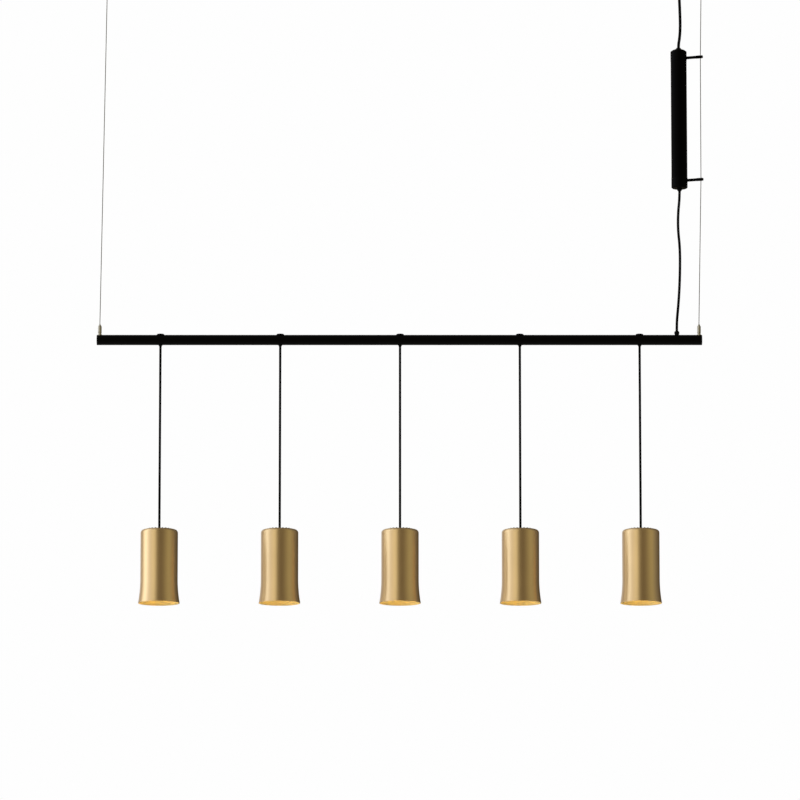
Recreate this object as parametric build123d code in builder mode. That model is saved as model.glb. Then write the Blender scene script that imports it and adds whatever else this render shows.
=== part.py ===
from build123d import *

import os
from math import cos, pi, radians, sin, sqrt, tan

# A linear island pendant. A black tube hangs level on two thin steel cables and carries five brass
# shades on black cords. A cylindrical driver is clamped to the right-hand cable, with the supply
# cord from the ceiling above it and a second cord down to the tube below it.
#
# +Z is up and z = 0 is the ceiling. X runs along the tube. The origin is midway between the two
# cable anchors, on the ceiling. All sizes are in millimetres and degrees.

os.makedirs("parts", exist_ok=True)

# ------------------------------------------------------------------ the whole light
drop = 918.0  # ceiling to the tube's axis
grip_inset = 7.5  # from each end of the tube in to its cable
bar_shift = -12.0  # the tube hangs this far along X from the middle of its anchors
pivot_drop = 20.0  # ceiling to the cable balls, the axis that the light swings about
light_swing = 15.0  # the light's swing on its cables, each way

# fits between pieces
running_gap = 0.08  # ball in its seat, plunger in its bore
seat_gap = 0.1  # spigot, thread or plug in its hole
free_gap = 0.4  # between a hole's mouth and the cord or cable that swings in it
squeeze = 0.1  # how far a grip bites into the cord or cable that it holds

# ------------------------------------------------------------------ ceiling anchors
cable_radius = 1.0
ball_wall = 1.75  # the swaged ball's metal round the cable
ball_seat_angle = 45.0  # from straight down to the edge of the ball's seat
anchor_base_radius = 12.0
anchor_base_thickness = 3.0
anchor_boss_radius = 7.5
anchor_boss_wall = 2.3
anchor_boss_gap = 5.0  # between the ring's end and the cap's floor
anchor_hole_radius = 2.2
anchor_screw_head_radius = 4.4
anchor_cap_wall = 2.4
anchor_cap_floor = 4.0  # solid stock above the ball's centre
anchor_nose_depth = 7.0  # ball's centre to the cap's tip
anchor_nose_wall = 1.95
anchor_cone_length = 8.0

# ------------------------------------------------------------------ ceiling canopy
canopy_inset = 55.0  # from the right-hand anchor in to the canopy
canopy_radius = 35.0
canopy_depth = 26.0
canopy_wall = 1.2
canopy_edge_radius = 4.0
bracket_gap = 3.8  # from the bracket's edge to the cover's wall
bracket_thickness = 2.0
bracket_hole_spacing = 44.0
bracket_hole_radius = 2.2
nipple_wall = 2.0
nipple_gap = 2.8  # from the nipple's end to the cover's floor
stop_wall = 2.5  # the ball clamped on the supply cord, round the cord
stop_half_height = 4.0
stop_seat_angle = 55.0
cord_end_proud = 2.0  # the supply cord's end above the ball
outlet_wall = 1.22
outlet_flange_width = 3.6
outlet_flange_thickness = 3.0
outlet_lip_wall = 2.0
outlet_lip_length = 5.0
outlet_thread_length = 15.0
terminal_length = 24.0
terminal_width = 14.0
terminal_height = 13.0
terminal_ways = 3
terminal_chamfer = 2.3
terminal_screw_radius = 2.0
terminal_screw_depth = 6.5
terminal_clearance = 3.0

# ------------------------------------------------------------------ tube
bar_length = 1500.0
bar_radius = 12.7
bar_wall = 1.5
end_flange = 3.0
end_flange_round = 1.2
end_spigot_past = 11.5  # the end plug's spigot reaches this far past the cable
top_plug_radius = 9.5
top_plug_rise = 2.2
top_plug_skirt = 4.5
top_plug_chamfer = 1.4
top_plug_spigot_radius = 6.5
top_plug_spigot_length = 3.0
wiring_radius = 2.2
connector_length = 16.0
connector_width = 9.0
connector_gap = 2.5  # from a connector to the sleeve's ball below it
connector_chamfer = 1.0

# ------------------------------------------------------------------ cable grips
collar_radius = 4.9
collar_height = 1.5
neck_radius = 3.9
neck_height = 2.6
grip_radius = 4.5
grip_height = 24.0
grip_cone_height = 3.5
grip_tip_radius = 2.9
grip_stem_radius = 2.4
grip_stem_length = 9.0
grip_bottom = 4.8  # floor of the bore above the tube
tail_hole_radius = 1.15
tail_hole_height = 6.4
tail_hole_turns = {"left": 225.0, "right": 270.0}
plunger_radius = 2.1
plunger_bore = 1.4
plunger_proud = 2.6
plunger_chamfer = 0.4
plunger_travel = 2.0
plunger_stop_gap = 1.3  # from a pressed plunger to the jaws
jaw_ball_radius = 0.85
jaw_ball_height = 11.0
jaw_cone_half_length = 2.2
jaw_cone_taper = 0.45
jaw_count = 3

# ------------------------------------------------------------------ pendants
pendant_count = 5
pendant_inset_left = 158.0  # from the tube's left-hand end in to the first pendant
pendant_inset_right = 155.0  # from its right-hand end in to the last
pendant_cord_radius = 2.95
pendant_swing_along = 8.0  # degrees each way along the tube
pendant_swing_across = 25.0  # degrees each way across the tube
sleeve_ball_radius = 5.0
sleeve_ball_sunk = 1.7  # the ball's centre above the tube's underside
sleeve_neck_angle = 60.0  # from straight down to where the ball becomes the neck
sleeve_shoulder_radius = 4.3
sleeve_shoulder_below = 2.7  # below the ball's centre
sleeve_tip_below = 5.3  # below the ball's centre
sleeve_tip_wall = 0.8
socket_margin = 5.0  # degrees of swing left when the cord reaches its limit
gland_wall = 0.84
gland_flange_width = 2.1
gland_flange_thickness = 1.8

shade_drop = 474.5  # tube's axis to the top of the shades
shade_height = 182.4
shade_radius = 46.0
shade_rim_radius = 51.3
shade_wall = 1.5
shade_shoulder_radius = 8.0
shade_flare_height = 60.0
shade_lap = 5.9  # how far the shade's top lies in over the heat sink's disc

sink_rim_gap = 0.6  # heat sink's disc to the bend of the shade's shoulder
sink_thickness = 4.0
fin_count = 20
fin_thickness = 1.8
fin_inner_radius = 17.0
fin_edge_gap = 1.4  # fins to the edge of the shade's opening
fin_rise = 2.5
hub_radius = 8.0
hub_rise = 1.2
cord_grip_depth = 12.0
hub_below_cord = 1.5
led_board_gap = 5.0  # from the board's edge to the diffuser's wall
led_board_thickness = 1.6
led_count = 8
led_size = 3.5
led_height = 1.0
diffuser_inset = 4.4  # from the disc's edge in to the diffuser
diffuser_depth = 26.0
diffuser_wall = 2.0
diffuser_edge_radius = 7.0

# ------------------------------------------------------------------ driver
driver_top_drop = 184.0  # ceiling to the driver's upper face
driver_length = 345.5
driver_radius = 19.9
driver_wall = 1.5
cap_proud = 0.25  # the caps' step out from the tube
cap_height = 25.0
cap_floor = 0.5  # from the end of a cap's side in to its inside floor
cap_edge_round = 1.5
cap_spigot_length = 10.0
cap_spigot_wall = 1.8
# the caps' sloping shoulders: how far in from the cap's side, and how far out past its end
top_cap_shoulder = (5.15, 3.5)
bottom_cap_shoulder = (3.0, 2.5)
# glands moulded on the caps: wall round the cord, and how far out past the end of the cap's side
top_gland_outline = [(2.8, 7.0), (2.4, 8.6), (1.2, 10.0)]
bottom_gland_outline = [(3.4, 2.5), (2.7, 6.5), (1.2, 9.0)]
gland_bite = 6.0  # how far the cords go into the glands
supply_cord_radius = 3.6
lower_cord_radius = 3.25
entry_inset = 62.5  # from the tube's right-hand end in to the gland
# the gland on the tube: wall round the cord, and height above the tube
entry_gland_outline = [(2.3, 2.6), (3.0, 3.2), (3.0, 7.4), (1.3, 9.5)]
entry_gland_round = 1.0
entry_stem_wall = 1.3
entry_stem_length = 5.5

clamp_reach = 56.5  # driver's axis to the cable
clamp_turn = 20.0  # the driver sits this far round behind the cable
clamp_inset = 17.0  # from each end of the driver to its clamp arm
cable_push = {"top": -0.6, "bottom": 2.8}  # how far each clamp pushes the cable along X
cable_bend_radius = 60.0
arm_radius = 3.6
arm_root = 5.0  # how far the arm's root reaches inside the cap
arm_boss_radius = 4.2
arm_boss_length = 1.2
head_radius = 3.9
head_inner = 11.0  # cable to the head's inner end
head_outer = 3.2  # cable to the head's outer end
head_cable_hole = 1.2
clamp_screw_radius = 1.5
clamp_knob_radius = 3.5
clamp_knob_length = 2.7
face_screw_radius = 2.6
face_screw_inset = 8.0  # from the driver's side to the screw's axis
face_screw_head = 1.6
face_screw_shank = 1.4
face_screw_length = 7.0

board_edge_gap = 3.4
board_thickness = 1.6
board_end_gap = 16.0
transformer_width = 16.0
transformer_length = 34.0
transformer_gap = 2.4  # from the transformer's corners to the driver's wall
capacitor_radius = 5.5
capacitor_sunk = 5.0  # its axis off the board's face, so that it beds on the board
capacitor_length = 18.0
choke_radius = 6.0
choke_height = 8.0

# ------------------------------------------------------------------ sizes worked out from these
ball_radius = cable_radius + ball_wall
stop_radius = supply_cord_radius + stop_wall
nipple_radius = stop_radius + running_gap + outlet_wall + seat_gap + nipple_wall
bracket_radius = canopy_radius - canopy_wall - bracket_gap
end_spigot_length = grip_inset - end_flange + end_spigot_past
plunger_floor = jaw_ball_height + jaw_ball_radius + plunger_stop_gap + plunger_travel
plunger_length = grip_height + plunger_proud - plunger_floor
sleeve_ball_drop = bar_radius - sleeve_ball_sunk
sleeve_seat_angle = sleeve_neck_angle + pendant_swing_along
connector_height = 2 * (sleeve_ball_drop - sleeve_ball_radius - connector_gap)
cord_socket_angle = 90.0 - pendant_swing_across - socket_margin
cord_socket_radius = pendant_cord_radius + running_gap
sleeve_tip_radius = cord_socket_radius * sin(radians(cord_socket_angle)) + sleeve_tip_wall
disc_radius = shade_radius - shade_shoulder_radius - sink_rim_gap
shade_opening_radius = disc_radius - shade_lap
diffuser_radius = disc_radius - diffuser_inset
led_board_radius = diffuser_radius - diffuser_wall - led_board_gap
led_ring_radius = (hub_radius + led_board_radius) / 2
cap_radius = driver_radius + cap_proud
driver_bore = driver_radius - driver_wall
entry_stem_radius = lower_cord_radius + entry_stem_wall
face_screw_spacing = 2 * (driver_radius - face_screw_inset)
board_width = 2 * (driver_bore - board_edge_gap)
transformer_reach = sqrt((driver_bore - transformer_gap) ** 2 - (transformer_width / 2) ** 2)

# ------------------------------------------------------------------ places worked out from these
bar_z = -drop
bar_top = bar_z + bar_radius
bar_left = bar_shift - bar_length / 2
bar_right = bar_shift + bar_length / 2
pivot_z = -pivot_drop
anchor_x = {"left": grip_inset - bar_length / 2, "right": bar_length / 2 - grip_inset}
grip_x = {side: x + bar_shift for side, x in anchor_x.items()}
canopy_x = anchor_x["right"] - canopy_inset
pendant_pitch = (bar_length - pendant_inset_left - pendant_inset_right) / (pendant_count - 1)
pendant_x = [bar_left + pendant_inset_left + pendant_pitch * i for i in range(pendant_count)]
shade_top = bar_z - shade_drop
driver_top = -driver_top_drop
driver_bottom = driver_top - driver_length
grip_mouth = bar_top + grip_height + plunger_proud
clamp_z = {"top": driver_top - clamp_inset, "bottom": driver_bottom + clamp_inset}


def cable_x(z):
    """Where the right-hand cable would be at this height if nothing pushed it."""
    share = (pivot_z - z) / (pivot_z - grip_mouth)
    return anchor_x["right"] + share * (grip_x["right"] - anchor_x["right"])


clamp_x = {end: cable_x(clamp_z[end]) + cable_push[end] for end in clamp_z}
driver_x = (clamp_x["top"] + clamp_x["bottom"]) / 2 - clamp_reach * cos(radians(clamp_turn))
driver_y = clamp_reach * sin(radians(clamp_turn))
entry_x = bar_right - entry_inset
entry_top = bar_top + entry_gland_outline[-1][1]


# ------------------------------------------------------------------ helpers
def upright(x, y=0.0):
    """A vertical section at x, y: radius is read across it and height up it."""
    return Plane(origin=(x, y, 0), x_dir=(1, 0, 0), z_dir=(0, -1, 0))


def standing_axis(x, y=0.0):
    """The vertical axis that a turned piece at x, y is turned about."""
    return Axis((x, y, 0), (0, 0, 1))


def below(centre_z, radius, angle):
    """A point of a ball's section, at this angle from straight down."""
    return (radius * sin(radians(angle)), centre_z - radius * cos(radians(angle)))


def above(centre_z, radius, angle):
    """A point of a ball's section, at this angle from straight up."""
    return (radius * sin(radians(angle)), centre_z + radius * cos(radians(angle)))


def swept_mouth(cord_radius, depth, tilt):
    """The radius of a mouth this deep below a pivot that clears a cord tilted this far."""
    return depth * tan(radians(tilt)) + cord_radius / cos(radians(tilt)) + free_gap


def circles(builder, radius, height):
    """The round edges of a turned piece that have this radius at this height."""
    rounds = builder.edges().filter_by(GeomType.CIRCLE)
    return rounds.filter_by(lambda e: abs(e.radius - radius) < 0.01 and abs(e.center().Z - height) < 0.01)


def route_length(line):
    """The length of a cord's whole route."""
    return sum(edge.length for edge in line.edges())


def loose_radii(points):
    """One bend radius for each inner point of a loose cord: 0.45 of the shorter run over tan(turn / 2)."""
    route = [Vector(*point) for point in points]
    radii = []
    for before, here, after in zip(route, route[1:], route[2:]):
        turn = (here - before).get_angle(after - here)
        shorter = min((here - before).length, (after - here).length)
        radii.append(0.45 * shorter / tan(radians(turn / 2)))
    return radii


# ------------------------------------------------------------------ ceiling anchors
# A disc screwed to the ceiling, with a threaded ring round the screw's head.
anchor_boss_length = anchor_base_thickness + anchor_cap_floor + anchor_boss_gap - pivot_drop
with BuildPart() as anchors:
    for x in anchor_x.values():
        with BuildSketch(Plane.XY.offset(-anchor_base_thickness)):
            with Locations((x, 0)):
                Circle(anchor_base_radius)
        extrude(amount=anchor_base_thickness)
        with BuildSketch(Plane.XY.offset(-anchor_base_thickness)):
            with Locations((x, 0)):
                Circle(anchor_boss_radius)
                Circle(anchor_boss_radius - anchor_boss_wall, mode=Mode.SUBTRACT)
        extrude(amount=anchor_boss_length)
        with Locations(Plane(origin=(x, 0, -anchor_base_thickness), z_dir=(0, 0, -1))):
            CounterSinkHole(radius=anchor_hole_radius, counter_sink_radius=anchor_screw_head_radius)
anchors.part.label = "ceiling_anchors"
export_step(anchors.part, "parts/ceiling_anchors.step")

# A cap screwed over each ring, whose nose holds the cable's ball in a round seat.
cap_bore = anchor_boss_radius + seat_gap
anchor_cap_radius = cap_bore + anchor_cap_wall
anchor_cap_bottom = pivot_z - anchor_nose_depth
ball_seat_radius = ball_radius + running_gap
ball_seat_edge = below(pivot_z, ball_seat_radius, ball_seat_angle)
anchor_mouth = swept_mouth(cable_radius, anchor_nose_depth, light_swing)
with BuildPart() as anchor_caps:
    for x in anchor_x.values():
        with BuildSketch(upright(x)):
            with BuildLine():
                Polyline(
                    (ball_seat_radius, pivot_z),
                    (ball_seat_radius, pivot_z + anchor_cap_floor),
                    (cap_bore, pivot_z + anchor_cap_floor),
                    (cap_bore, -anchor_base_thickness),
                    (anchor_cap_radius, -anchor_base_thickness),
                    (anchor_cap_radius, anchor_cap_bottom + anchor_cone_length),
                    (anchor_mouth + anchor_nose_wall, anchor_cap_bottom),
                    (anchor_mouth, anchor_cap_bottom),
                    ball_seat_edge,
                )
                ThreePointArc(
                    ball_seat_edge,
                    below(pivot_z, ball_seat_radius, (ball_seat_angle + 90) / 2),
                    (ball_seat_radius, pivot_z),
                )
            make_face()
        revolve(axis=standing_axis(x))
anchor_caps.part.label = "anchor_caps"
export_step(anchor_caps.part, "parts/anchor_caps.step")

# ------------------------------------------------------------------ ceiling canopy
nipple_length = canopy_depth - canopy_wall - nipple_gap
with BuildPart() as bracket:
    with BuildSketch(Plane.XY.offset(-bracket_thickness)):
        with Locations((canopy_x, 0)):
            Circle(bracket_radius)
    extrude(amount=bracket_thickness)
    with BuildSketch(Plane.XY):
        with Locations((canopy_x, 0)):
            Circle(nipple_radius)
    extrude(amount=-nipple_length)
    with BuildSketch(Plane.XY):
        with Locations((canopy_x, 0)):
            Circle(nipple_radius - nipple_wall)
            with GridLocations(0, bracket_hole_spacing, 1, 2):
                Circle(bracket_hole_radius)
    extrude(amount=-nipple_length, mode=Mode.SUBTRACT)
bracket.part.label = "canopy_bracket"
export_step(bracket.part, "parts/canopy_bracket.step")

# The cover is a spun cup that the outlet's flange holds up against the ceiling.
with BuildPart() as cover:
    with BuildSketch(Plane.XY.offset(-canopy_depth)):
        with Locations((canopy_x, 0)):
            Circle(canopy_radius)
    extrude(amount=canopy_depth)
    fillet(circles(cover, canopy_radius, -canopy_depth), radius=canopy_edge_radius)
    offset(amount=-canopy_wall, openings=cover.faces().sort_by(Axis.Z)[-1])
    with BuildSketch(Plane.XY.offset(-canopy_depth)):
        with Locations((canopy_x, 0)):
            Circle(nipple_radius - nipple_wall)
    extrude(amount=canopy_wall, mode=Mode.SUBTRACT)
cover.part.label = "canopy_cover"
export_step(cover.part, "parts/canopy_cover.step")

with BuildPart() as terminals:
    terminal_x = canopy_x - nipple_radius - terminal_clearance - terminal_width / 2
    with BuildSketch(Plane.XY.offset(-bracket_thickness)):
        with Locations((terminal_x, 0)):
            Rectangle(terminal_width, terminal_length)
    extrude(amount=-terminal_height)
    chamfer(terminals.edges().filter_by(Axis.Y).group_by(Axis.Z)[0], length=terminal_chamfer)
    with BuildSketch(Plane.XY.offset(-bracket_thickness - terminal_height)):
        with Locations((terminal_x, 0)):
            with GridLocations(0, terminal_length / terminal_ways, 1, terminal_ways):
                Circle(terminal_screw_radius)
    extrude(amount=terminal_screw_depth, mode=Mode.SUBTRACT)
terminals.part.label = "terminal_block"
export_step(terminals.part, "parts/terminal_block.step")

# The outlet screws up into the bracket, and its trumpet mouth leaves room for the cord's swing.
outlet_thread_radius = nipple_radius - nipple_wall - seat_gap
stop_seat_radius = stop_radius + running_gap
stop_seat_edge = below(pivot_z, stop_seat_radius, stop_seat_angle)
outlet_top = -canopy_depth + outlet_thread_length
outlet_flange_bottom = -canopy_depth - outlet_flange_thickness
outlet_bottom = outlet_flange_bottom - outlet_lip_length
outlet_mouth = swept_mouth(supply_cord_radius, pivot_z - outlet_bottom, light_swing)
outlet_lip_radius = outlet_mouth + outlet_lip_wall
outlet_flange_radius = outlet_lip_radius + outlet_flange_width
with BuildPart() as outlet:
    with BuildSketch(upright(canopy_x)):
        with BuildLine():
            Polyline(
                (stop_seat_radius, pivot_z),
                (stop_seat_radius, outlet_top),
                (outlet_thread_radius, outlet_top),
                (outlet_thread_radius, -canopy_depth),
                (outlet_flange_radius, -canopy_depth),
                (outlet_flange_radius, outlet_flange_bottom),
                (outlet_lip_radius, outlet_bottom),
                (outlet_mouth, outlet_bottom),
                stop_seat_edge,
            )
            ThreePointArc(
                stop_seat_edge,
                below(pivot_z, stop_seat_radius, (stop_seat_angle + 90) / 2),
                (stop_seat_radius, pivot_z),
            )
        make_face()
    revolve(axis=standing_axis(canopy_x))
outlet.part.label = "canopy_outlet"
export_step(outlet.part, "parts/canopy_outlet.step")

# ------------------------------------------------------------------ steel cables
with BuildPart() as balls:
    for x in anchor_x.values():
        with Locations((x, 0, pivot_z)):
            Sphere(ball_radius)
            Cylinder(cable_radius - squeeze, 4 * ball_radius, mode=Mode.SUBTRACT)
balls.part.label = "cable_ball_ends"
export_step(balls.part, "parts/cable_ball_ends.step")

# Each cable runs from its ball to its grip. The right one is bent a little at the driver's clamps.
cable_end = bar_top + tail_hole_height
cable_routes = {
    "left": [
        (anchor_x["left"], 0, pivot_z + ball_radius),
        (anchor_x["left"], 0, pivot_z - ball_radius),
        (grip_x["left"], 0, grip_mouth),
        (grip_x["left"], 0, cable_end),
    ],
    "right": [
        (anchor_x["right"], 0, pivot_z + ball_radius),
        (anchor_x["right"], 0, pivot_z - ball_radius),
        (clamp_x["top"], 0, clamp_z["top"]),
        (clamp_x["bottom"], 0, clamp_z["bottom"]),
        (grip_x["right"], 0, grip_mouth),
        (grip_x["right"], 0, cable_end),
    ],
}
for side, points in cable_routes.items():
    with BuildPart() as cable:
        with BuildLine() as cable_line:
            FilletPolyline(*points, radius=cable_bend_radius)
        with BuildSketch(Plane(origin=cable_line.line @ 0, z_dir=cable_line.line % 0)):
            Circle(cable_radius)
        sweep()
    print(f"cable_{side}: length {route_length(cable_line):.1f}, bend radius {cable_bend_radius:.0f}")
    cable.part.label = f"cable_{side}"
    export_step(cable.part, f"parts/cable_{side}.step")

# ------------------------------------------------------------------ tube
with BuildPart() as bar:
    with BuildSketch(Plane(origin=(bar_left + end_flange, 0, bar_z), z_dir=(1, 0, 0))):
        Circle(bar_radius)
        Circle(bar_radius - bar_wall, mode=Mode.SUBTRACT)
    extrude(amount=bar_length - 2 * end_flange)
    with Locations(*[(x, 0, bar_top) for x in pendant_x]):
        Hole(top_plug_spigot_radius + seat_gap, depth=bar_radius)
    with Locations(*[(x, 0, bar_z) for x in pendant_x]):
        Hole(sleeve_ball_radius + running_gap + gland_wall + seat_gap, depth=2 * bar_radius)
    with Locations((entry_x, 0, bar_top)):
        Hole(entry_stem_radius + seat_gap, depth=bar_radius)
    with Locations(*[(x, 0, bar_top) for x in grip_x.values()]):
        Hole(grip_stem_radius + seat_gap, depth=bar_radius)
bar.part.label = "bar_tube"
export_step(bar.part, "parts/bar_tube.step")

# Turned plugs close the ends, and the stems of the cable grips screw down into them.
with BuildPart() as end_plugs:
    for x, inward in ((bar_left, 1), (bar_right, -1)):
        with BuildSketch(Plane(origin=(x, 0, bar_z), z_dir=(inward, 0, 0))):
            Circle(bar_radius)
        extrude(amount=end_flange)
        with BuildSketch(Plane(origin=(x, 0, bar_z), z_dir=(inward, 0, 0))):
            Circle(bar_radius - bar_wall - seat_gap)
        extrude(amount=end_flange + end_spigot_length)
    faces_out = end_plugs.edges().filter_by(GeomType.CIRCLE).sort_by(Axis.X)
    fillet([faces_out[0], faces_out[-1]], radius=end_flange_round)
    with Locations(*[(x, 0, bar_top) for x in grip_x.values()]):
        Hole(grip_stem_radius + seat_gap, depth=grip_stem_length + collar_height)
end_plugs.part.label = "end_plugs"
export_step(end_plugs.part, "parts/end_plugs.step")

# A saddle-shaped plug closes the wiring hole above each pendant.
with BuildPart() as top_plugs:
    with BuildSketch(Plane.XY.offset(bar_top + top_plug_rise)):
        with Locations(*[(x, 0) for x in pendant_x]):
            Circle(top_plug_radius)
    extrude(amount=-top_plug_rise - top_plug_skirt)
    chamfer(top_plugs.edges().group_by(Axis.Z)[-1], length=top_plug_chamfer)
    with BuildSketch(Plane(origin=(bar_left, 0, bar_z), z_dir=(1, 0, 0))):
        Circle(bar_radius)
    extrude(amount=bar_length, mode=Mode.SUBTRACT)
    with BuildSketch(Plane.XY.offset(bar_top + top_plug_rise - top_plug_chamfer)):
        with Locations(*[(x, 0) for x in pendant_x]):
            Circle(top_plug_spigot_radius)
    extrude(amount=-top_plug_rise + top_plug_chamfer - bar_wall - top_plug_spigot_length)
top_plugs.part.label = "bar_top_plugs"
export_step(top_plugs.part, "parts/bar_top_plugs.step")

# The wiring along the tube, with a connector at each pendant.
with BuildPart() as wiring:
    wiring_start = pendant_x[0]
    with BuildSketch(Plane(origin=(wiring_start, 0, bar_z), z_dir=(1, 0, 0))):
        Circle(wiring_radius)
    extrude(amount=entry_x - wiring_start)
    with Locations(*[(x, 0, bar_z) for x in pendant_x]):
        Box(connector_length, connector_width, connector_height)
    chamfer(wiring.edges().filter_by(Axis.Y), length=connector_chamfer)
wiring.part.label = "bar_wiring"
export_step(wiring.part, "parts/bar_wiring.step")

# The domed gland where the lower cord goes into the tube.
entry_section = [(lower_cord_radius + wall, bar_top + height) for wall, height in entry_gland_outline]
with BuildPart() as entry_gland:
    with BuildSketch(upright(entry_x)):
        with BuildLine():
            Polyline(
                (0, bar_z),
                (entry_section[0][0], bar_z),
                *entry_section,
                (0, entry_top),
                close=True,
            )
        make_face()
    revolve(axis=standing_axis(entry_x))
    with BuildSketch(Plane(origin=(bar_left, 0, bar_z), z_dir=(1, 0, 0))):
        Circle(bar_radius)
    extrude(amount=bar_length, mode=Mode.SUBTRACT)
    with BuildSketch(Plane.XY.offset(bar_top + entry_gland_outline[0][1])):
        with Locations((entry_x, 0)):
            Circle(entry_stem_radius)
    extrude(amount=-entry_gland_outline[0][1] - entry_stem_length)
    fillet(circles(entry_gland, *entry_section[-1]), radius=entry_gland_round)
    with Locations((entry_x, 0, entry_top)):
        Hole(lower_cord_radius - squeeze, depth=entry_top - bar_top + entry_stem_length + seat_gap)
entry_gland.part.label = "cord_entry_gland"
export_step(entry_gland.part, "parts/cord_entry_gland.step")

# ------------------------------------------------------------------ cable grips
jaw_height = bar_top + jaw_ball_height
jaw_ring_radius = cable_radius - squeeze + jaw_ball_radius
jaw_cone_radius = jaw_ring_radius + jaw_ball_radius + seat_gap
for side, x in grip_x.items():
    with BuildPart() as grip:
        with BuildSketch(upright(x)):
            with BuildLine():
                Polyline(
                    (0, bar_z),
                    (collar_radius, bar_z),
                    (collar_radius, bar_top + collar_height),
                    (neck_radius, bar_top + collar_height),
                    (neck_radius, bar_top + collar_height + neck_height),
                    (grip_radius, bar_top + collar_height + neck_height + grip_radius - neck_radius),
                    (grip_radius, bar_top + grip_height - grip_cone_height),
                    (grip_tip_radius, bar_top + grip_height),
                    (plunger_radius + running_gap, bar_top + grip_height),
                    (plunger_radius + running_gap, jaw_height + jaw_cone_half_length),
                    (jaw_cone_radius + jaw_cone_taper, jaw_height + jaw_cone_half_length),
                    (jaw_cone_radius - jaw_cone_taper, jaw_height - jaw_cone_half_length),
                    (cable_radius + seat_gap, jaw_height - jaw_cone_half_length),
                    (cable_radius + seat_gap, bar_top + grip_bottom),
                    (0, bar_top + grip_bottom),
                    close=True,
                )
            make_face()
        revolve(axis=standing_axis(x))
        with BuildSketch(Plane(origin=(bar_left, 0, bar_z), z_dir=(1, 0, 0))):
            Circle(bar_radius)
        extrude(amount=bar_length, mode=Mode.SUBTRACT)
        with BuildSketch(Plane.XY.offset(bar_top + collar_height)):
            with Locations((x, 0)):
                Circle(grip_stem_radius)
        extrude(amount=-collar_height - grip_stem_length)
        # the hole that the cable's tail leaves by
        turn = radians(tail_hole_turns[side])
        tail_out = Plane(origin=(x, 0, bar_top + tail_hole_height), z_dir=(cos(turn), sin(turn), 0))
        with BuildSketch(tail_out):
            Circle(tail_hole_radius)
        extrude(amount=grip_radius, mode=Mode.SUBTRACT)
    grip.part.label = f"grip_{side}"
    export_step(grip.part, f"parts/grip_{side}.step")

    # Pressing the plunger down frees the jaws from the cable.
    with BuildPart() as plunger:
        with BuildSketch(Plane.XY.offset(grip_mouth)):
            with Locations((x, 0)):
                Circle(plunger_radius)
        extrude(amount=-plunger_length)
        chamfer(circles(plunger, plunger_radius, grip_mouth), length=plunger_chamfer)
        with Locations((x, 0, grip_mouth)):
            Hole(plunger_bore, depth=plunger_length)
    plunger.part.label = f"plunger_{side}"
    export_step(plunger.part, f"parts/plunger_{side}.step")

# Three balls in each grip wedge between its cone and the cable.
with BuildPart() as jaws:
    for x in grip_x.values():
        with Locations((x, 0, jaw_height)):
            with PolarLocations(jaw_ring_radius, jaw_count):
                Sphere(jaw_ball_radius)
jaws.part.label = "grip_jaws"
export_step(jaws.part, "parts/grip_jaws.step")

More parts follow.
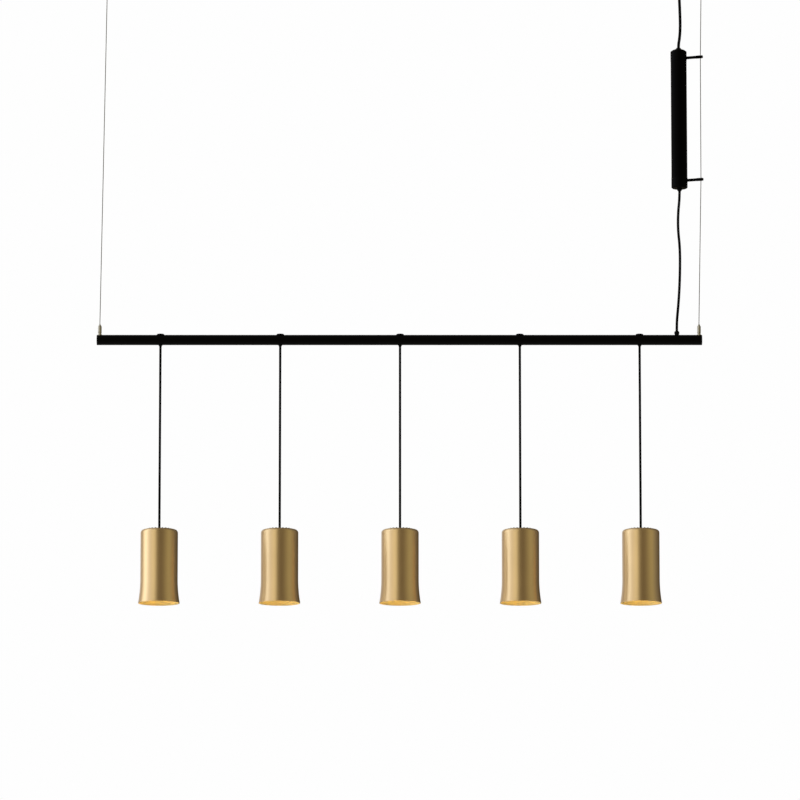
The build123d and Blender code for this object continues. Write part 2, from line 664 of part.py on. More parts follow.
# ------------------------------------------------------------------ driver
for end, side_end, inward, shoulder, outline, cord_radius in (
    ("top", driver_top, -1, top_cap_shoulder, top_gland_outline, supply_cord_radius),
    ("bottom", driver_bottom, 1, bottom_cap_shoulder, bottom_gland_outline, lower_cord_radius),
):
    spigot_radius = driver_bore - seat_gap
    seam = side_end + inward * cap_height
    spigot_end = seam + inward * cap_spigot_length
    nose = side_end - inward * outline[-1][1]
    floor = side_end + inward * cap_floor
    shoulder_radius = cap_radius - shoulder[0]
    shoulder_z = side_end - inward * shoulder[1]
    with BuildPart() as cap:
        with BuildSketch(upright(driver_x, driver_y)):
            with BuildLine():
                Polyline(
                    (0, nose),
                    *[(cord_radius + wall, side_end - inward * out) for wall, out in reversed(outline)],
                    (shoulder_radius, shoulder_z),
                    (cap_radius, side_end),
                    (cap_radius, seam),
                    (spigot_radius, seam),
                    (spigot_radius, spigot_end),
                    (spigot_radius - cap_spigot_wall, spigot_end),
                    (spigot_radius - cap_spigot_wall, floor),
                    (0, floor),
                    close=True,
                )
            make_face()
        revolve(axis=standing_axis(driver_x, driver_y))
        shoulder_edges = circles(cap, cap_radius, side_end) + circles(cap, shoulder_radius, shoulder_z)
        fillet(shoulder_edges, radius=cap_edge_round)
        # bore for the cord, from the nose right into the cap
        with BuildSketch(Plane(origin=(driver_x, driver_y, nose), z_dir=(0, 0, inward))):
            Circle(cord_radius - squeeze)
        extrude(amount=outline[-1][1] + cap_floor, mode=Mode.SUBTRACT)
        if end == "bottom":
            # holes for the two screws in the lower face
            with BuildSketch(Plane(origin=(driver_x, driver_y, shoulder_z), z_dir=(0, 0, inward))):
                with GridLocations(face_screw_spacing, 0, 2, 1):
                    Circle(face_screw_radius + seat_gap)
            extrude(amount=face_screw_head, mode=Mode.SUBTRACT)
            with BuildSketch(Plane(origin=(driver_x, driver_y, shoulder_z), z_dir=(0, 0, inward))):
                with GridLocations(face_screw_spacing, 0, 2, 1):
                    Circle(face_screw_shank + seat_gap)
            extrude(amount=shoulder[1] + cap_floor, mode=Mode.SUBTRACT)
        # hole for the clamp arm's root
        reach = Vector(clamp_x[end] - driver_x, -driver_y, 0)
        with BuildSketch(Plane(origin=(driver_x, driver_y, clamp_z[end]), z_dir=reach)):
            Circle(arm_radius + seat_gap)
        extrude(amount=cap_radius, mode=Mode.SUBTRACT)
    cap.part.label = f"driver_cap_{end}"
    export_step(cap.part, f"parts/driver_cap_{end}.step")

    # The arm is a turned rod with a thicker head, cross-drilled for the cable.
    with BuildPart() as arm:
        arm_plane = Plane(origin=(driver_x, driver_y, clamp_z[end]), x_dir=reach, z_dir=(0, 0, 1))
        arm_start = cap_radius - arm_root
        boss_end = cap_radius + arm_boss_length
        head_start = reach.length - head_inner
        head_end = reach.length + head_outer
        with BuildSketch(arm_plane):
            with BuildLine():
                Polyline(
                    (arm_start, 0),
                    (arm_start, arm_radius),
                    (cap_radius, arm_radius),
                    (cap_radius, arm_boss_radius),
                    (boss_end, arm_boss_radius),
                    (boss_end + arm_boss_radius - arm_radius, arm_radius),
                    (head_start - head_radius + arm_radius, arm_radius),
                    (head_start, head_radius),
                    (head_end, head_radius),
                    (head_end, clamp_screw_radius + seat_gap),
                    (reach.length, clamp_screw_radius + seat_gap),
                    (reach.length, 0),
                    close=True,
                )
            make_face()
        revolve(axis=Axis(arm_plane.origin, reach))
        with BuildSketch(Plane.XY.offset(clamp_z[end] - head_radius)):
            with Locations((clamp_x[end], 0)):
                Circle(head_cable_hole)
        extrude(amount=2 * head_radius, mode=Mode.SUBTRACT)
    arm.part.label = f"clamp_arm_{end}"
    export_step(arm.part, f"parts/clamp_arm_{end}.step")

with BuildPart() as driver_tube:
    with BuildSketch(Plane.XY.offset(driver_top - cap_height)):
        with Locations((driver_x, driver_y)):
            Circle(driver_radius)
            Circle(driver_bore, mode=Mode.SUBTRACT)
    extrude(amount=-driver_length + 2 * cap_height)
driver_tube.part.label = "driver_tube"
export_step(driver_tube.part, "parts/driver_tube.step")

# The two thumbscrews that hold the cable in the arms, and the two screws in the driver's lower face.
with BuildPart() as screws:
    for end, z in clamp_z.items():
        reach = Vector(clamp_x[end] - driver_x, -driver_y, 0)
        out = reach.normalized()
        screw_start = Vector(clamp_x[end], 0, z) + out * (cable_radius - squeeze)
        knob_start = Vector(clamp_x[end], 0, z) + out * head_outer
        with BuildSketch(Plane(origin=screw_start, z_dir=out)):
            Circle(clamp_screw_radius)
        extrude(amount=head_outer + clamp_knob_length / 2)
        with BuildSketch(Plane(origin=knob_start, z_dir=out)):
            Circle(clamp_knob_radius)
        extrude(amount=clamp_knob_length)
    lower_face = Plane.XY.offset(driver_bottom - bottom_cap_shoulder[1])
    for reach_in, screw_radius in ((face_screw_head, face_screw_radius), (face_screw_length, face_screw_shank)):
        with BuildSketch(lower_face):
            with Locations((driver_x, driver_y)):
                with GridLocations(face_screw_spacing, 0, 2, 1):
                    Circle(screw_radius)
        extrude(amount=reach_in)
screws.part.label = "driver_screws"
export_step(screws.part, "parts/driver_screws.step")

# The circuit board runs the length of the driver, with its larger components.
board_top = driver_top - cap_height - board_end_gap
board_bottom = driver_bottom + cap_height + board_end_gap
board_face = driver_y - board_thickness / 2
with BuildPart() as board:
    with Locations((driver_x, driver_y, (board_top + board_bottom) / 2)):
        Box(board_width, board_thickness, board_top - board_bottom)
    middle = (board_top + board_bottom) / 2
    with Locations((driver_x, driver_y - transformer_reach / 2, middle)):
        Box(transformer_width, transformer_reach, transformer_length)
    capacitor_z = middle - transformer_length - capacitor_length
    with Locations((driver_x, board_face - capacitor_sunk, capacitor_z)):
        Cylinder(capacitor_radius, capacitor_length)
    choke_z = middle + transformer_length + 2 * choke_radius
    with Locations((driver_x, board_face - choke_height / 2, choke_z)):
        Cylinder(choke_radius, choke_height, rotation=(90, 0, 0))
board.part.label = "driver_board"
export_step(board.part, "parts/driver_board.step")

# ------------------------------------------------------------------ supply cords
cord_top = pivot_z + stop_half_height + cord_end_proud
cord_routes = {
    "mains_cord_upper": (
        supply_cord_radius,
        [
            (canopy_x, 0, cord_top),
            (canopy_x, 0, cord_top - 30),
            (689.3, 5.5, -84),
            (690.4, 12.5, -121),
            (688.8, 17.2, -149),
            (driver_x, driver_y, driver_top + 19),
            (driver_x, driver_y, driver_top + top_gland_outline[-1][1] - gland_bite),
        ],
    ),
    "mains_cord_lower": (
        lower_cord_radius,
        [
            (driver_x, driver_y, driver_bottom - bottom_gland_outline[-1][1] + gland_bite),
            (driver_x, driver_y, driver_bottom - 27),
            (681.8, 17.0, -592),
            (680.8, 14.2, -636),
            (685.4, 11.2, -684),
            (685.0, 7.4, -742),
            (682.6, 4.2, -796),
            (678.8, 1.6, -842),
            (entry_x, 0, bar_top + 33),
            (entry_x, 0, entry_top - gland_bite),
        ],
    ),
}
for label, (radius, points) in cord_routes.items():
    radii = loose_radii(points)
    with BuildPart() as cord:
        with BuildLine() as cord_line:
            FilletPolyline(*points, radius=radii)
        with BuildSketch(Plane(origin=cord_line.line @ 0, z_dir=cord_line.line % 0)):
            Circle(radius)
        sweep()
    plain_volume = pi * radius**2 * route_length(cord_line)
    print(f"{label}: length {route_length(cord_line):.1f}, volume {cord.part.volume / plain_volume:.4f}")
    print(f"{label}: bend radii {[round(r) for r in radii]}")
    cord.part.label = label
    export_step(cord.part, f"parts/{label}.step")

# The ball clamped on the supply cord, which rests in the canopy's outlet.
with BuildPart() as stop:
    with Locations((canopy_x, 0, pivot_z)):
        Sphere(stop_radius)
        Box(3 * stop_radius, 3 * stop_radius, 2 * stop_half_height, mode=Mode.INTERSECT)
        Cylinder(supply_cord_radius - squeeze, 3 * stop_radius, mode=Mode.SUBTRACT)
stop.part.label = "cord_stop"
export_step(stop.part, "parts/cord_stop.step")

# ------------------------------------------------------------------ pendants
# A bush in the underside of the tube at each pendant, with a round seat for the cord's sleeve.
sleeve_z = bar_z - sleeve_ball_drop
sleeve_seat_radius = sleeve_ball_radius + running_gap
gland_radius = sleeve_seat_radius + gland_wall
gland_flange_radius = gland_radius + gland_flange_width
gland_flange_z = bar_z - sqrt((bar_radius - bar_wall) ** 2 - gland_flange_radius**2) + seat_gap
gland_edge = below(sleeve_z, sleeve_seat_radius, sleeve_seat_angle)
with BuildPart() as glands:
    for x in pendant_x:
        with BuildSketch(upright(x)):
            with BuildLine():
                Polyline(
                    (sleeve_seat_radius, sleeve_z),
                    (sleeve_seat_radius, gland_flange_z + gland_flange_thickness),
                    (gland_flange_radius, gland_flange_z + gland_flange_thickness),
                    (gland_flange_radius, gland_flange_z),
                    (gland_radius, gland_flange_z),
                    (gland_radius, gland_edge[1]),
                    gland_edge,
                )
                ThreePointArc(
                    gland_edge,
                    below(sleeve_z, sleeve_seat_radius, (sleeve_seat_angle + 90) / 2),
                    (sleeve_seat_radius, sleeve_z),
                )
            make_face()
        revolve(axis=standing_axis(x))
glands.part.label = "pendant_glands"
export_step(glands.part, "parts/pendant_glands.step")

sleeve_tip_z = sleeve_z - sleeve_tip_below
cord_pivot_z = sleeve_tip_z - cord_socket_radius * cos(radians(cord_socket_angle))
cord_bottom = shade_top - cord_grip_depth
hub_bottom = cord_bottom - hub_below_cord
disc_top = shade_top - shade_wall
disc_bottom = disc_top - sink_thickness
shade_bottom = shade_top - shade_height
flare_top = shade_bottom + shade_flare_height
inner_radius = shade_radius - shade_wall
fin_outer_radius = shade_opening_radius - fin_edge_gap

for number, x in enumerate(pendant_x, start=1):
    # The sleeve: a ball in the tube's bush, tapering to the cord, with a round socket for its end.
    with BuildPart() as sleeve:
        ball_tip = below(sleeve_z, sleeve_ball_radius, sleeve_neck_angle)
        socket_edge = above(cord_pivot_z, cord_socket_radius, cord_socket_angle)
        with BuildSketch(upright(x)):
            with BuildLine():
                Line((0, sleeve_z + sleeve_ball_radius), (0, cord_pivot_z + cord_socket_radius))
                ThreePointArc(
                    (0, cord_pivot_z + cord_socket_radius),
                    above(cord_pivot_z, cord_socket_radius, cord_socket_angle / 2),
                    socket_edge,
                )
                Polyline(
                    socket_edge,
                    (sleeve_tip_radius, sleeve_tip_z),
                    (sleeve_shoulder_radius, sleeve_z - sleeve_shoulder_below),
                    ball_tip,
                )
                ThreePointArc(
                    ball_tip,
                    above(sleeve_z, sleeve_ball_radius, 90 - sleeve_neck_angle / 2),
                    (0, sleeve_z + sleeve_ball_radius),
                )
            make_face()
        revolve(axis=standing_axis(x))
    sleeve.part.label = f"sleeve_{number}"
    export_step(sleeve.part, f"parts/sleeve_{number}.step")

    # The cord hangs straight under the shade's weight, from a round end in the sleeve's socket.
    with BuildPart() as pendant_cord:
        with BuildSketch(upright(x)):
            with BuildLine():
                Polyline(
                    (0, cord_pivot_z + pendant_cord_radius),
                    (0, cord_bottom),
                    (pendant_cord_radius, cord_bottom),
                    (pendant_cord_radius, cord_pivot_z),
                )
                ThreePointArc(
                    (pendant_cord_radius, cord_pivot_z),
                    above(cord_pivot_z, pendant_cord_radius, 45),
                    (0, cord_pivot_z + pendant_cord_radius),
                )
            make_face()
        revolve(axis=standing_axis(x))
    pendant_cord.part.label = f"cord_{number}"
    export_step(pendant_cord.part, f"parts/cord_{number}.step")

    # The shade: spun brass with a rounded shoulder, straight sides and a slightly flared skirt.
    with BuildPart() as shade:
        shoulder_in = shade_radius - shade_shoulder_radius
        inner_shoulder = shade_shoulder_radius - shade_wall
        half = sin(radians(45))
        with BuildSketch(upright(x)):
            with BuildLine():
                Line((shade_opening_radius, shade_top), (shoulder_in, shade_top))
                ThreePointArc(
                    (shoulder_in, shade_top),
                    (
                        shoulder_in + shade_shoulder_radius * half,
                        shade_top - shade_shoulder_radius * (1 - half),
                    ),
                    (shade_radius, shade_top - shade_shoulder_radius),
                )
                Line((shade_radius, shade_top - shade_shoulder_radius), (shade_radius, flare_top))
                TangentArc((shade_radius, flare_top), (shade_rim_radius, shade_bottom), tangent=(0, -1))
                Line((shade_rim_radius, shade_bottom), (shade_rim_radius - shade_wall, shade_bottom))
                TangentArc(
                    (inner_radius, flare_top),
                    (shade_rim_radius - shade_wall, shade_bottom),
                    tangent=(0, -1),
                )
                Line((inner_radius, flare_top), (inner_radius, shade_top - shade_shoulder_radius))
                ThreePointArc(
                    (inner_radius, shade_top - shade_shoulder_radius),
                    (
                        shoulder_in + inner_shoulder * half,
                        shade_top - shade_shoulder_radius + inner_shoulder * half,
                    ),
                    (shoulder_in, disc_top),
                )
                Line((shoulder_in, disc_top), (shade_opening_radius, disc_top))
                Line((shade_opening_radius, disc_top), (shade_opening_radius, shade_top))
            make_face()
        revolve(axis=standing_axis(x))
    shade.part.label = f"shade_{number}"
    export_step(shade.part, f"parts/shade_{number}.step")

    # The heat sink carries the shade on its disc. Its fins stand up through the shade's opening.
    with BuildPart() as sink:
        with BuildSketch(Plane.XY.offset(disc_bottom)):
            with Locations((x, 0)):
                Circle(disc_radius)
        extrude(amount=sink_thickness)
        with BuildSketch(Plane.XY.offset(shade_top + fin_rise)):
            with Locations((x, 0)):
                with PolarLocations((fin_inner_radius + fin_outer_radius) / 2, fin_count):
                    Rectangle(fin_outer_radius - fin_inner_radius, fin_thickness)
        extrude(amount=disc_top - shade_top - fin_rise)
        with BuildSketch(Plane.XY.offset(shade_top + hub_rise)):
            with Locations((x, 0)):
                Circle(hub_radius)
        extrude(amount=hub_bottom - shade_top - hub_rise)
        with BuildSketch(Plane.XY.offset(shade_top + hub_rise)):
            with Locations((x, 0)):
                Circle(pendant_cord_radius - squeeze)
        extrude(amount=hub_bottom - shade_top - hub_rise, mode=Mode.SUBTRACT)
    sink.part.label = f"heat_sink_{number}"
    export_step(sink.part, f"parts/heat_sink_{number}.step")

    with BuildPart() as led_board:
        with BuildSketch(Plane.XY.offset(disc_bottom)):
            with Locations((x, 0)):
                Circle(led_board_radius)
                Circle(hub_radius + seat_gap, mode=Mode.SUBTRACT)
        extrude(amount=-led_board_thickness)
        with BuildSketch(Plane.XY.offset(disc_bottom - led_board_thickness)):
            with Locations((x, 0)):
                with PolarLocations(led_ring_radius, led_count):
                    Rectangle(led_size, led_size)
        extrude(amount=-led_height)
    led_board.part.label = f"led_board_{number}"
    export_step(led_board.part, f"parts/led_board_{number}.step")

    # The opal diffuser is a cup over the light source.
    with BuildPart() as diffuser:
        with BuildSketch(Plane.XY.offset(disc_bottom)):
            with Locations((x, 0)):
                Circle(diffuser_radius)
        extrude(amount=-diffuser_depth)
        fillet(diffuser.edges().group_by(Axis.Z)[0], radius=diffuser_edge_radius)
        offset(amount=-diffuser_wall, openings=diffuser.faces().sort_by(Axis.Z)[-1])
    diffuser.part.label = f"diffuser_{number}"
    export_step(diffuser.part, f"parts/diffuser_{number}.step")
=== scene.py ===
import math

import bpy
from bpy.props import FloatProperty, FloatVectorProperty, IntProperty, PointerProperty
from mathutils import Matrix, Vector


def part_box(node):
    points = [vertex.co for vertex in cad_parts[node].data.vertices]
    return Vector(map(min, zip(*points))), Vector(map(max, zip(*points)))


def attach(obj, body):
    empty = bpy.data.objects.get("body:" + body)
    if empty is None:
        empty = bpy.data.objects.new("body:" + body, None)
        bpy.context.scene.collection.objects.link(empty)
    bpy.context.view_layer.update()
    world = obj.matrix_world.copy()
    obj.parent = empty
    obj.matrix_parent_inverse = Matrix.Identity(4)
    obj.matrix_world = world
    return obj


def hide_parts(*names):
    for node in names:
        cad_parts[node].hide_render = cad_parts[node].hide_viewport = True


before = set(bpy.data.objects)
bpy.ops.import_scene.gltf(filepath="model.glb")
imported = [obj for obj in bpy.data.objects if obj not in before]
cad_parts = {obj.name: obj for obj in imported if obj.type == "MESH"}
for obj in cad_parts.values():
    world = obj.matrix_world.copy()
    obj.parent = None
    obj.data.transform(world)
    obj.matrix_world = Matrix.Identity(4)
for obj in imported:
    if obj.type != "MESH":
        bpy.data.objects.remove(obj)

bl_info = {
    "name": "Island pendant",
    "version": (1, 0, 0),
    "blender": (4, 5, 0),
    "location": "View3D > Sidebar > Pendant",
    "description": "Dresses a linear island pendant: tube, cables, driver, cords and brass shades",
    "category": "Object",
}

MM = 0.001
UP = (0, 0, 1)
ON_AXIS = 1e-6  # metres, a smaller radius is a point on the axis
SENSOR = 36.0  # millimetres, the width of the camera's film
FARTHEST = 200.0  # metres, as far as the camera sees
NOISE_LOW, NOISE_HIGH = 0.3, 0.7  # noise seldom leaves this range
BODY = "light_frame"
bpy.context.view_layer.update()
PENDANTS = range(1, sum(name.startswith("shade_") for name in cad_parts) + 1)
SIDES = ("left", "right")


def linear(code):
    """An sRGB hex colour as linear red, green and blue."""
    parts = [int(code[i : i + 2], 16) / 255 for i in (1, 3, 5)]
    return [p / 12.92 if p <= 0.04045 else ((p + 0.055) / 1.055) ** 2.4 for p in parts]


def middle(node):
    """The middle of a part's box."""
    low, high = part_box(node)
    return (low + high) / 2


# ---------------------------------------------------------------- sizes and colours a user may change
def span(name, description, metres):
    """A distance, shown in the scene's units."""
    return FloatProperty(name=name, description=description, default=metres, unit="LENGTH")


def length(name, description, millimetres):
    """A size of a piece."""
    return span(name, description, millimetres * MM)


def colour(name, description, code):
    """A colour, given as sRGB."""
    return FloatVectorProperty(
        name=name, description=description, subtype="COLOR", size=3, min=0, max=1, default=linear(code)
    )


class PendantSizes(bpy.types.PropertyGroup):
    edge_round: length("Edge round", "Rounding of the machined edges", 0.4)
    shade_wall: length("Shade wall", "Thickness of the spun brass", 1.5)
    shade_radius: length("Shade radius", "Radius of the shade's straight side", 46)
    shade_opening: length("Shade opening", "Radius of the hole in the shade's top", 31.5)
    shade_shoulder: length("Shade shoulder", "Radius of the bend round the shade's top", 8)
    shade_flare: length("Shade flare", "Height of the flared skirt", 60)
    tube_wall: length("Tube wall", "Thickness of the tube", 1.5)
    plug_chamfer: length("Plug chamfer", "Chamfer round the plugs on top of the tube", 1.4)
    cable: length("Cable", "Thickness of the steel cables", 2)
    cable_lay: length("Cable lay", "Length of one full turn of the cable's strands", 14)
    pendant_cord: length("Pendant cord", "Thickness of the shades' cords", 5.9)
    supply_cord: length("Supply cord", "Thickness of the cord from the ceiling", 7.2)
    lower_cord: length("Lower cord", "Thickness of the cord from driver to tube", 6.5)
    cable_strands: IntProperty(name="Strands", description="Outer strands of a cable", default=6, min=3)


class PendantColours(bpy.types.PropertyGroup):
    brass: colour("Brass", "Spun brass of the shades", "#E7C48C")
    coat: colour("Powder coat", "Black coat of tube and driver", "#050404")
    sheath: colour("Cord sheath", "PVC of the cords", "#040303")
    nickel: colour("Nickel", "Plating of the cable grips", "#B9B2A3")
    steel: colour("Steel", "Wire of the cables", "#7E7768")
    glow: colour("Glow", "Light of the lamps", "#FFF8E6")
    background: colour("Background", "What the camera sees behind the light", "#FEFEFE")


class PendantStage(bpy.types.PropertyGroup):
    distance: span("Distance", "From the camera to the light", 14.66)
    across: span("Across", "Camera's place along X", -0.01055)
    height: span("Height", "Camera's place along Z", -3.4004)
    pitch: FloatProperty(
        name="Pitch", description="How far the camera looks up", default=math.radians(9.038), unit="ROTATION"
    )
    lens: FloatProperty(name="Lens", description="Focal length in millimetres", default=270.0)
    floor: span("Floor", "Height of the floor", -4.4)
    floor_reach: span("Floor reach", "Half the floor's width", 60.0)
    key: FloatProperty(
        name="Studio light", description="Brightness of the studio round the light", default=2.6, min=0
    )
    lamp: FloatProperty(name="Lamps", description="Brightness of the lit diffusers", default=14.0, min=0)


# ---------------------------------------------------------------- meshes
def mesh_piece(name, vertices, faces, sharp=32.0):
    """A mesh object with smooth faces and creases where they meet at more than the sharp angle."""
    mesh = bpy.data.meshes.new(name)
    mesh.from_pydata([tuple(v) for v in vertices], [], faces)
    mesh.validate()
    mesh.polygons.foreach_set("use_smooth", [True] * len(mesh.polygons))
    mesh.set_sharp_from_angle(angle=math.radians(sharp))
    piece = bpy.data.objects.new(name, mesh)
    bpy.context.scene.collection.objects.link(piece)
    even = piece.modifiers.new("Even shading", "WEIGHTED_NORMAL")
    even.keep_sharp = True
    return piece


def arc(centre, radius, start, end, steps=6):
    """Points of a profile's arc, from one angle to another in degrees, both ends included."""
    turns = [math.radians(start + (end - start) * i / steps) for i in range(steps + 1)]
    return [(centre[0] + radius * math.cos(t), centre[1] + radius * math.sin(t)) for t in turns]


def rounded(corners, radius):
    """A closed profile whose corners are rounded, all but those on the axis."""
    steps = 3
    share = 0.45  # a corner's curve takes at most this much of the shorter side next to it
    points = []
    for i, here in enumerate(corners):
        a, b, c = (Vector(corners[k % len(corners)]) for k in (i - 1, i, i + 1))
        if here[0] < ON_AXIS:
            points.append(tuple(here))
            continue
        back, on = (a - b).normalized(), (c - b).normalized()
        half = back.angle(on) / 2
        cut = min(radius / math.tan(half), share * min((a - b).length, (c - b).length))
        for k in range(steps + 1):
            t = k / steps
            points.append(tuple(b + back * cut * (1 - t) ** 2 + on * cut * t**2))
    return points


def numbered(count, around):
    """The vertices of rings made one after another: their numbers, ring by ring."""
    return [list(range(k * around, (k + 1) * around)) for k in range(count)]


def skin(rings, inside_out=False):
    """The faces from each ring of vertices to the next, where a ring of one vertex is a point."""
    around = max(len(ring) for ring in rings)
    faces = []
    for here, there in zip(rings, rings[1:]):
        for i in range(around):
            j = (i + 1) % around
            corners = [here[i % len(here)], here[j % len(here)], there[j % len(there)], there[i % len(there)]]
            if inside_out:
                corners = [corners[0], *corners[:0:-1]]
            face = list(dict.fromkeys(corners))
            if len(face) > 2:
                faces.append(face)
    return faces


def turned_solid(profile, origin, direction, segments):
    """Vertices and faces of a closed profile of (radius, height), turned about an axis."""
    area = sum(a[0] * b[1] - b[0] * a[1] for a, b in zip(profile, profile[1:] + profile[:1]))
    if area < 0:
        profile = profile[::-1]
    along = Vector(direction).normalized()
    side = along.orthogonal().normalized()
    other = along.cross(side)
    vertices, rings = [], []
    for radius, height in profile:
        foot = Vector(origin) + along * height
        count = 1 if radius < ON_AXIS else segments
        rings.append([len(vertices) + i for i in range(count)])
        for i in range(count):
            turn = 2 * math.pi * i / segments
            vertices.append(foot + (side * math.cos(turn) + other * math.sin(turn)) * radius)
    return vertices, skin([*rings, rings[0]])


def joined(name, solids, sharp=32.0):
    """One piece of several (vertices, faces) pairs."""
    vertices, faces = [], []
    for more, sides in solids:
        faces += [[v + len(vertices) for v in face] for face in sides]
        vertices += more
    return mesh_piece(name, vertices, faces, sharp)


def turned(name, profiles, segments=96):
    """One piece of several turned solids, each (profile, origin, direction)."""
    return joined(name, [turned_solid(*solid, segments) for solid in profiles])


def stands_for(piece, node, body, finish):
    """Puts a new piece in a part's place, on its body, with a finish."""
    piece.data.materials.append(finish)
    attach(piece, body)
    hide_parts(node)
    return piece


def dress(node, finish):
    """Gives a part of the frame a finish, its shape left as it is."""
    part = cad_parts[node]
    for place in part.material_slots:
        place.material = finish


# ---------------------------------------------------------------- materials
def add(tree, kind, values=(), links=(), **settings):
    """A node with its settings, the values of its own sockets and the links into it."""
    made = tree.nodes.new(kind)
    for key, value in settings.items():
        setattr(made, key, value)
    for socket, value in dict(values).items():
        made.inputs[socket].default_value = value
    for socket, source in dict(links).items():
        tree.links.new(source, made.inputs[socket])
    return made


def material(name, values, build):
    """The material of this name, made the first time it is asked for: the values go on the shader's own
    sockets, and build links the patterns into it."""
    found = bpy.data.materials.get(name)
    if found:
        return found
    made = bpy.data.materials.new(name)
    made.use_nodes = True
    tree = made.node_tree
    tree.nodes.clear()
    shader = add(tree, "ShaderNodeBsdfPrincipled", values)
    add(tree, "ShaderNodeOutputMaterial", links={"Surface": shader.outputs["BSDF"]})
    build(tree, shader)
    return made


def grain(tree, scale, detail=2.0):
    """Noise in the piece's own space, scale in grains a metre along X, Y and Z."""
    place = add(tree, "ShaderNodeTexCoord")
    stretch = add(
        tree, "ShaderNodeMapping", {"Scale": scale}, {"Vector": place.outputs["Object"]}, vector_type="POINT"
    )
    return add(
        tree,
        "ShaderNodeTexNoise",
        {"Scale": 1.0, "Detail": detail, "Roughness": 0.5},
        {"Vector": stretch.outputs["Vector"]},
    ).outputs["Fac"]


def spread(tree, source, low, high):
    """Turns noise into a value between low and high."""
    return add(
        tree,
        "ShaderNodeMapRange",
        {"From Min": NOISE_LOW, "From Max": NOISE_HIGH, "To Min": low, "To Max": high},
        {"Value": source},
    ).outputs["Result"]


def ramp(tree, source, stops):
    """A colour that changes along these stops, each a place from 0 to 1 and a colour."""
    node = add(tree, "ShaderNodeValToRGB", links={"Fac": source})
    elements = node.color_ramp.elements
    for element, (place, shade) in zip((elements[0], elements[1]), (stops[0], stops[-1])):
        element.position = place
        element.color = (*shade, 1)
    for place, shade in stops[1:-1]:
        elements.new(place).color = (*shade, 1)
    return node.outputs["Color"]


def tinted(tree, source, base, dark, light):
    """A colour that noise makes a little darker and lighter."""
    darker, lighter = [c * dark for c in base], [min(1, c * light) for c in base]
    return ramp(tree, source, [(NOISE_LOW, darker), (NOISE_HIGH, lighter)])


def relief(tree, source, depth, strength=1.0):
    """The normal of a surface with this relief, depth in metres."""
    return add(
        tree, "ShaderNodeBump", {"Distance": depth, "Strength": strength}, {"Height": source}
    ).outputs["Normal"]


def marked(tree, shader, tint, marks, roughness, depth, strength=1.0):
    """Links in a colour, and the marks of its making as a roughness between two values and a relief."""
    tree.links.new(tint, shader.inputs["Base Color"])
    tree.links.new(spread(tree, marks, *roughness), shader.inputs["Roughness"])
    tree.links.new(relief(tree, marks, depth, strength), shader.inputs["Normal"])


def spun_brass():
    """Sheet brass spun over a form on a lathe, brushed as it turned and clear lacquered. The tool's
    rings run round the shade, so a lamp's reflection stays narrow across it and is drawn out up and
    down. The rings are 0.3 mm apart and are drawn at 1.6 mm, because finer ones wouldn't show."""
    colours = bpy.context.scene.pendant_colours
    values = {
        "Metallic": 1.0,
        "Anisotropic": 0.5,
        "Anisotropic Rotation": 0.25,
        "Coat Weight": 1.0,
        "Coat Roughness": 0.3,
    }

    def build(tree, shader):
        rings = grain(tree, (9, 9, 1 / (1.6 * MM)), detail=3.0)
        tint = tinted(tree, grain(tree, (14, 14, 9)), colours.brass, 0.95, 1.03)
        round_it = add(tree, "ShaderNodeTangent", direction_type="RADIAL", axis="Z")
        tree.links.new(round_it.outputs["Tangent"], shader.inputs["Tangent"])
        marked(tree, shader, tint, rings, (0.39, 0.44), 0.01 * MM, 0.5)

    return material("Spun brass, lacquered", values, build)


def gold_paint():
    """The inside of a shade: matt gold paint, sprayed on. It scatters the lamp's light, so the mouth
    glows evenly down to the rim. Its droplets are some 0.1 mm wide and are drawn at 1.5 mm, because
    finer ones wouldn't show."""

    def build(tree, shader):
        droplets = grain(tree, (1 / (1.5 * MM),) * 3)
        tint = tinted(tree, droplets, linear("#E3CE8E"), 0.96, 1.03)
        marked(tree, shader, tint, droplets, (0.66, 0.78), 0.01 * MM, 0.5)

    return material("Gold paint, matt", {"Specular IOR Level": 0.2}, build)


def powder_coat(metal, shine=0.06):
    """Black polyester powder, sprayed on dry and baked. It flows out to a satin skin with an orange
    peel of about 1.2 mm, which breaks up its reflections a little. The shine is low, because the
    photograph's coat stays near black."""
    colours = bpy.context.scene.pendant_colours

    def build(tree, shader):
        peel = grain(tree, (1 / (1.2 * MM),) * 3, detail=3.0)
        tint = tinted(tree, grain(tree, (25, 25, 25)), colours.coat, 0.85, 1.15)
        marked(tree, shader, tint, peel, (0.36, 0.46), 0.02 * MM, 0.6)

    return material(f"Powder coated {metal}", {"IOR": 1.5, "Specular IOR Level": shine}, build)


def driver_coat():
    """The same powder on the driver's tube and clamp arms, drier still."""
    return powder_coat("extrusion", 0.02)


def fine_grit(name, code, roughness, grit=0.8, shine=0.5):
    """An even colour dulled by a fine grit. The real one is some 0.05 mm wide and is drawn as wide as
    grit says, in millimetres, because a finer one wouldn't show."""

    def build(tree, shader):
        grains = grain(tree, (1 / (grit * MM),) * 3)
        tint = tinted(tree, grains, linear(code), 0.85, 1.15)
        marked(tree, shader, tint, grains, (roughness - 0.05, roughness + 0.06), 0.015 * MM)

    return material(name, {"IOR": 1.5, "Specular IOR Level": shine}, build)


def moulded_nylon():
    """Nylon moulded in a spark-eroded tool, black all through: satin, with little gloss."""
    return fine_grit("Moulded nylon", "#060505", 0.45, shine=0.08)


def moulded_abs():
    """ABS moulded in a spark-eroded tool: dry and black, with hardly a glint."""
    return fine_grit("Moulded ABS", "#050404", 0.42, shine=0.03)


def moulded_polypropylene():
    """Polypropylene in its own milky white: a soft, waxy gloss."""
    return fine_grit("Polypropylene", "#DAD9D4", 0.5)


def moulded_rubber():
    """Rubber cured in a mould: a dull black, finer in its grit than the plastics."""
    return fine_grit("Moulded rubber", "#060505", 0.62, grit=0.5, shine=0.08)


